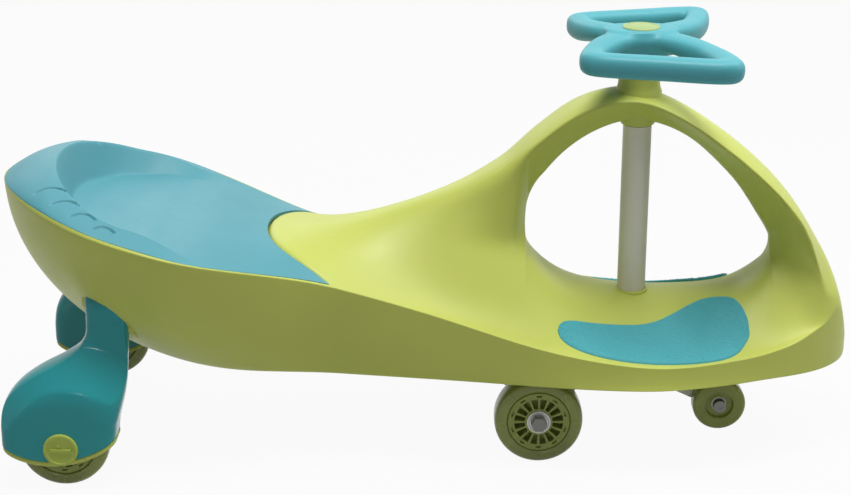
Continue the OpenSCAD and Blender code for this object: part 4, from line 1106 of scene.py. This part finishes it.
# %% [markdown]
# ## The wheels
# A wheel is an olive hub with sixteen openings between its spokes, a ring of short slots and a clear
# tyre cast round it. The openings could be cut with booleans, but both parts are rings, so a sheet is
# wrapped round the axle, and the openings, slots and mould lines are pressed into its faces. That
# leaves an even mesh without stray faces.

# %% Hub and tyre of a wheel
front_axle_x, front_wheel_y, hub_half, ring_steps = 99.0, 78.0, 12.6, 320
hub_radii = [11.2, 11.6, 12.9, 13.0, 14, 18, 22, 22.5, 22.6, 23.2, 24.5, 24.6, 26.1, 26.2, 28.2, 28.8]
hub_levels = [(r, 1) for r in hub_radii] + [(r, -1) for r in hub_radii[::-1]] + [(hub_radii[0], 1)]
half_tyre = [(29, 11.6), (29.6, 12.6), (31, 13.4), (33.4, 13.8), (36, 13.6), (38.4, 12.7), (40.1, 10.6),
    (40.8, 7.6), (41, 4), (41, 0)]
tyre_levels = half_tyre + [(r, -w) for r, w in half_tyre[-2::-1]] + [half_tyre[0]]


def pressed(r, k):
    """How deep the hub's face is at a radius and a step round the axle: openings, slots and edge."""
    if 12.95 < r < 22.55 and 4 <= k % 20 <= 16:
        return 9.0
    if 24.55 < r < 26.15 and 12 <= k % 32 <= 20:
        return 2.2
    return 0.7 if r > 28.5 else 0.0


def hub_width(level, k):
    return level[1] * (hub_half - pressed(level[0], k))


def tyre_width(level, k):
    """The side of the tyre, with a raised mould line at every eighth of a turn."""
    mould_line = 0.35 if k % 40 in (0, 1) and 30 < level[0] < 39 else 0
    return level[1] + math.copysign(mould_line, level[1])


def ring(levels, centre, width_at):
    """Wrap a sheet round an axle: a level gives the radius, and width_at the place along the axle."""
    def place(level, k):
        a = 2 * math.pi * k / ring_steps
        across, up = level[0] * math.cos(a), level[0] * math.sin(a)
        return (centre[0] + across, centre[1] + width_at(level, k), centre[2] + up)

    bm = bmesh.new()
    sheet(bm, levels, list(range(ring_steps + 1)), place)
    weld(bm, reach=0.01)
    return bm


# %% Four wheels
for end, x, y in (("front", front_axle_x, front_wheel_y), ("rear", axle_x, rear_wheel_y)):
    for side, name in sides:
        body, hub, tyre = (f"{end}_{part}_{name}" for part in ("wheel", "hub", "tyre"))
        centre = (x, side * y, axle_z)
        bm = ring(hub_levels, centre, hub_width)
        piece("spoked_" + hub, bm, olive, body, [hub], sharp=35)
        bm = ring(tyre_levels, centre, tyre_width)
        piece("clear_" + tyre, bm, clear_olive, body, [tyre], sharp=50)

# %% [markdown]
# ## Finishes for the solids that stay
# Shafts, nuts, bearings, tubes and the bracket are already right as solids. They only need a finish,
# and a small bevel so that their edges catch the light.

# %% Dress the solids
# The nuts sit in the wheel bores, and their dark steel partly paints the shade of those bores.
looks = {"front_bracket": pale_grey, "front_nuts": bore_shade_dark_steel, "tip_nuts": bore_shade_dark_steel}
for side, name in sides:
    looks["tip_bush_" + name] = pale_grey
    looks["tip_wheel_" + name] = olive
    looks["front_bearings_" + name] = looks["rear_bearings_" + name] = bearing_steel
edged = ("front_bracket", "front_nuts", "tip_nuts", "bracket_nut", "thrust_washer", "front_axle", "tip_axle",
    "tip_wheel_right", "tip_wheel_left", "tip_bush_right", "tip_bush_left")
for name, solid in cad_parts.items():
    solid.data.materials.clear()
    solid.data.materials.append(looks.get(name, steel))
    if name in edged:
        worn = solid.modifiers.new("worn_edges", "BEVEL")
        worn.width, worn.segments, worn.limit_method = 0.0005, 2, "ANGLE"
        worn.angle_limit = math.radians(40)
print("dressed", len(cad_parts), "solids")
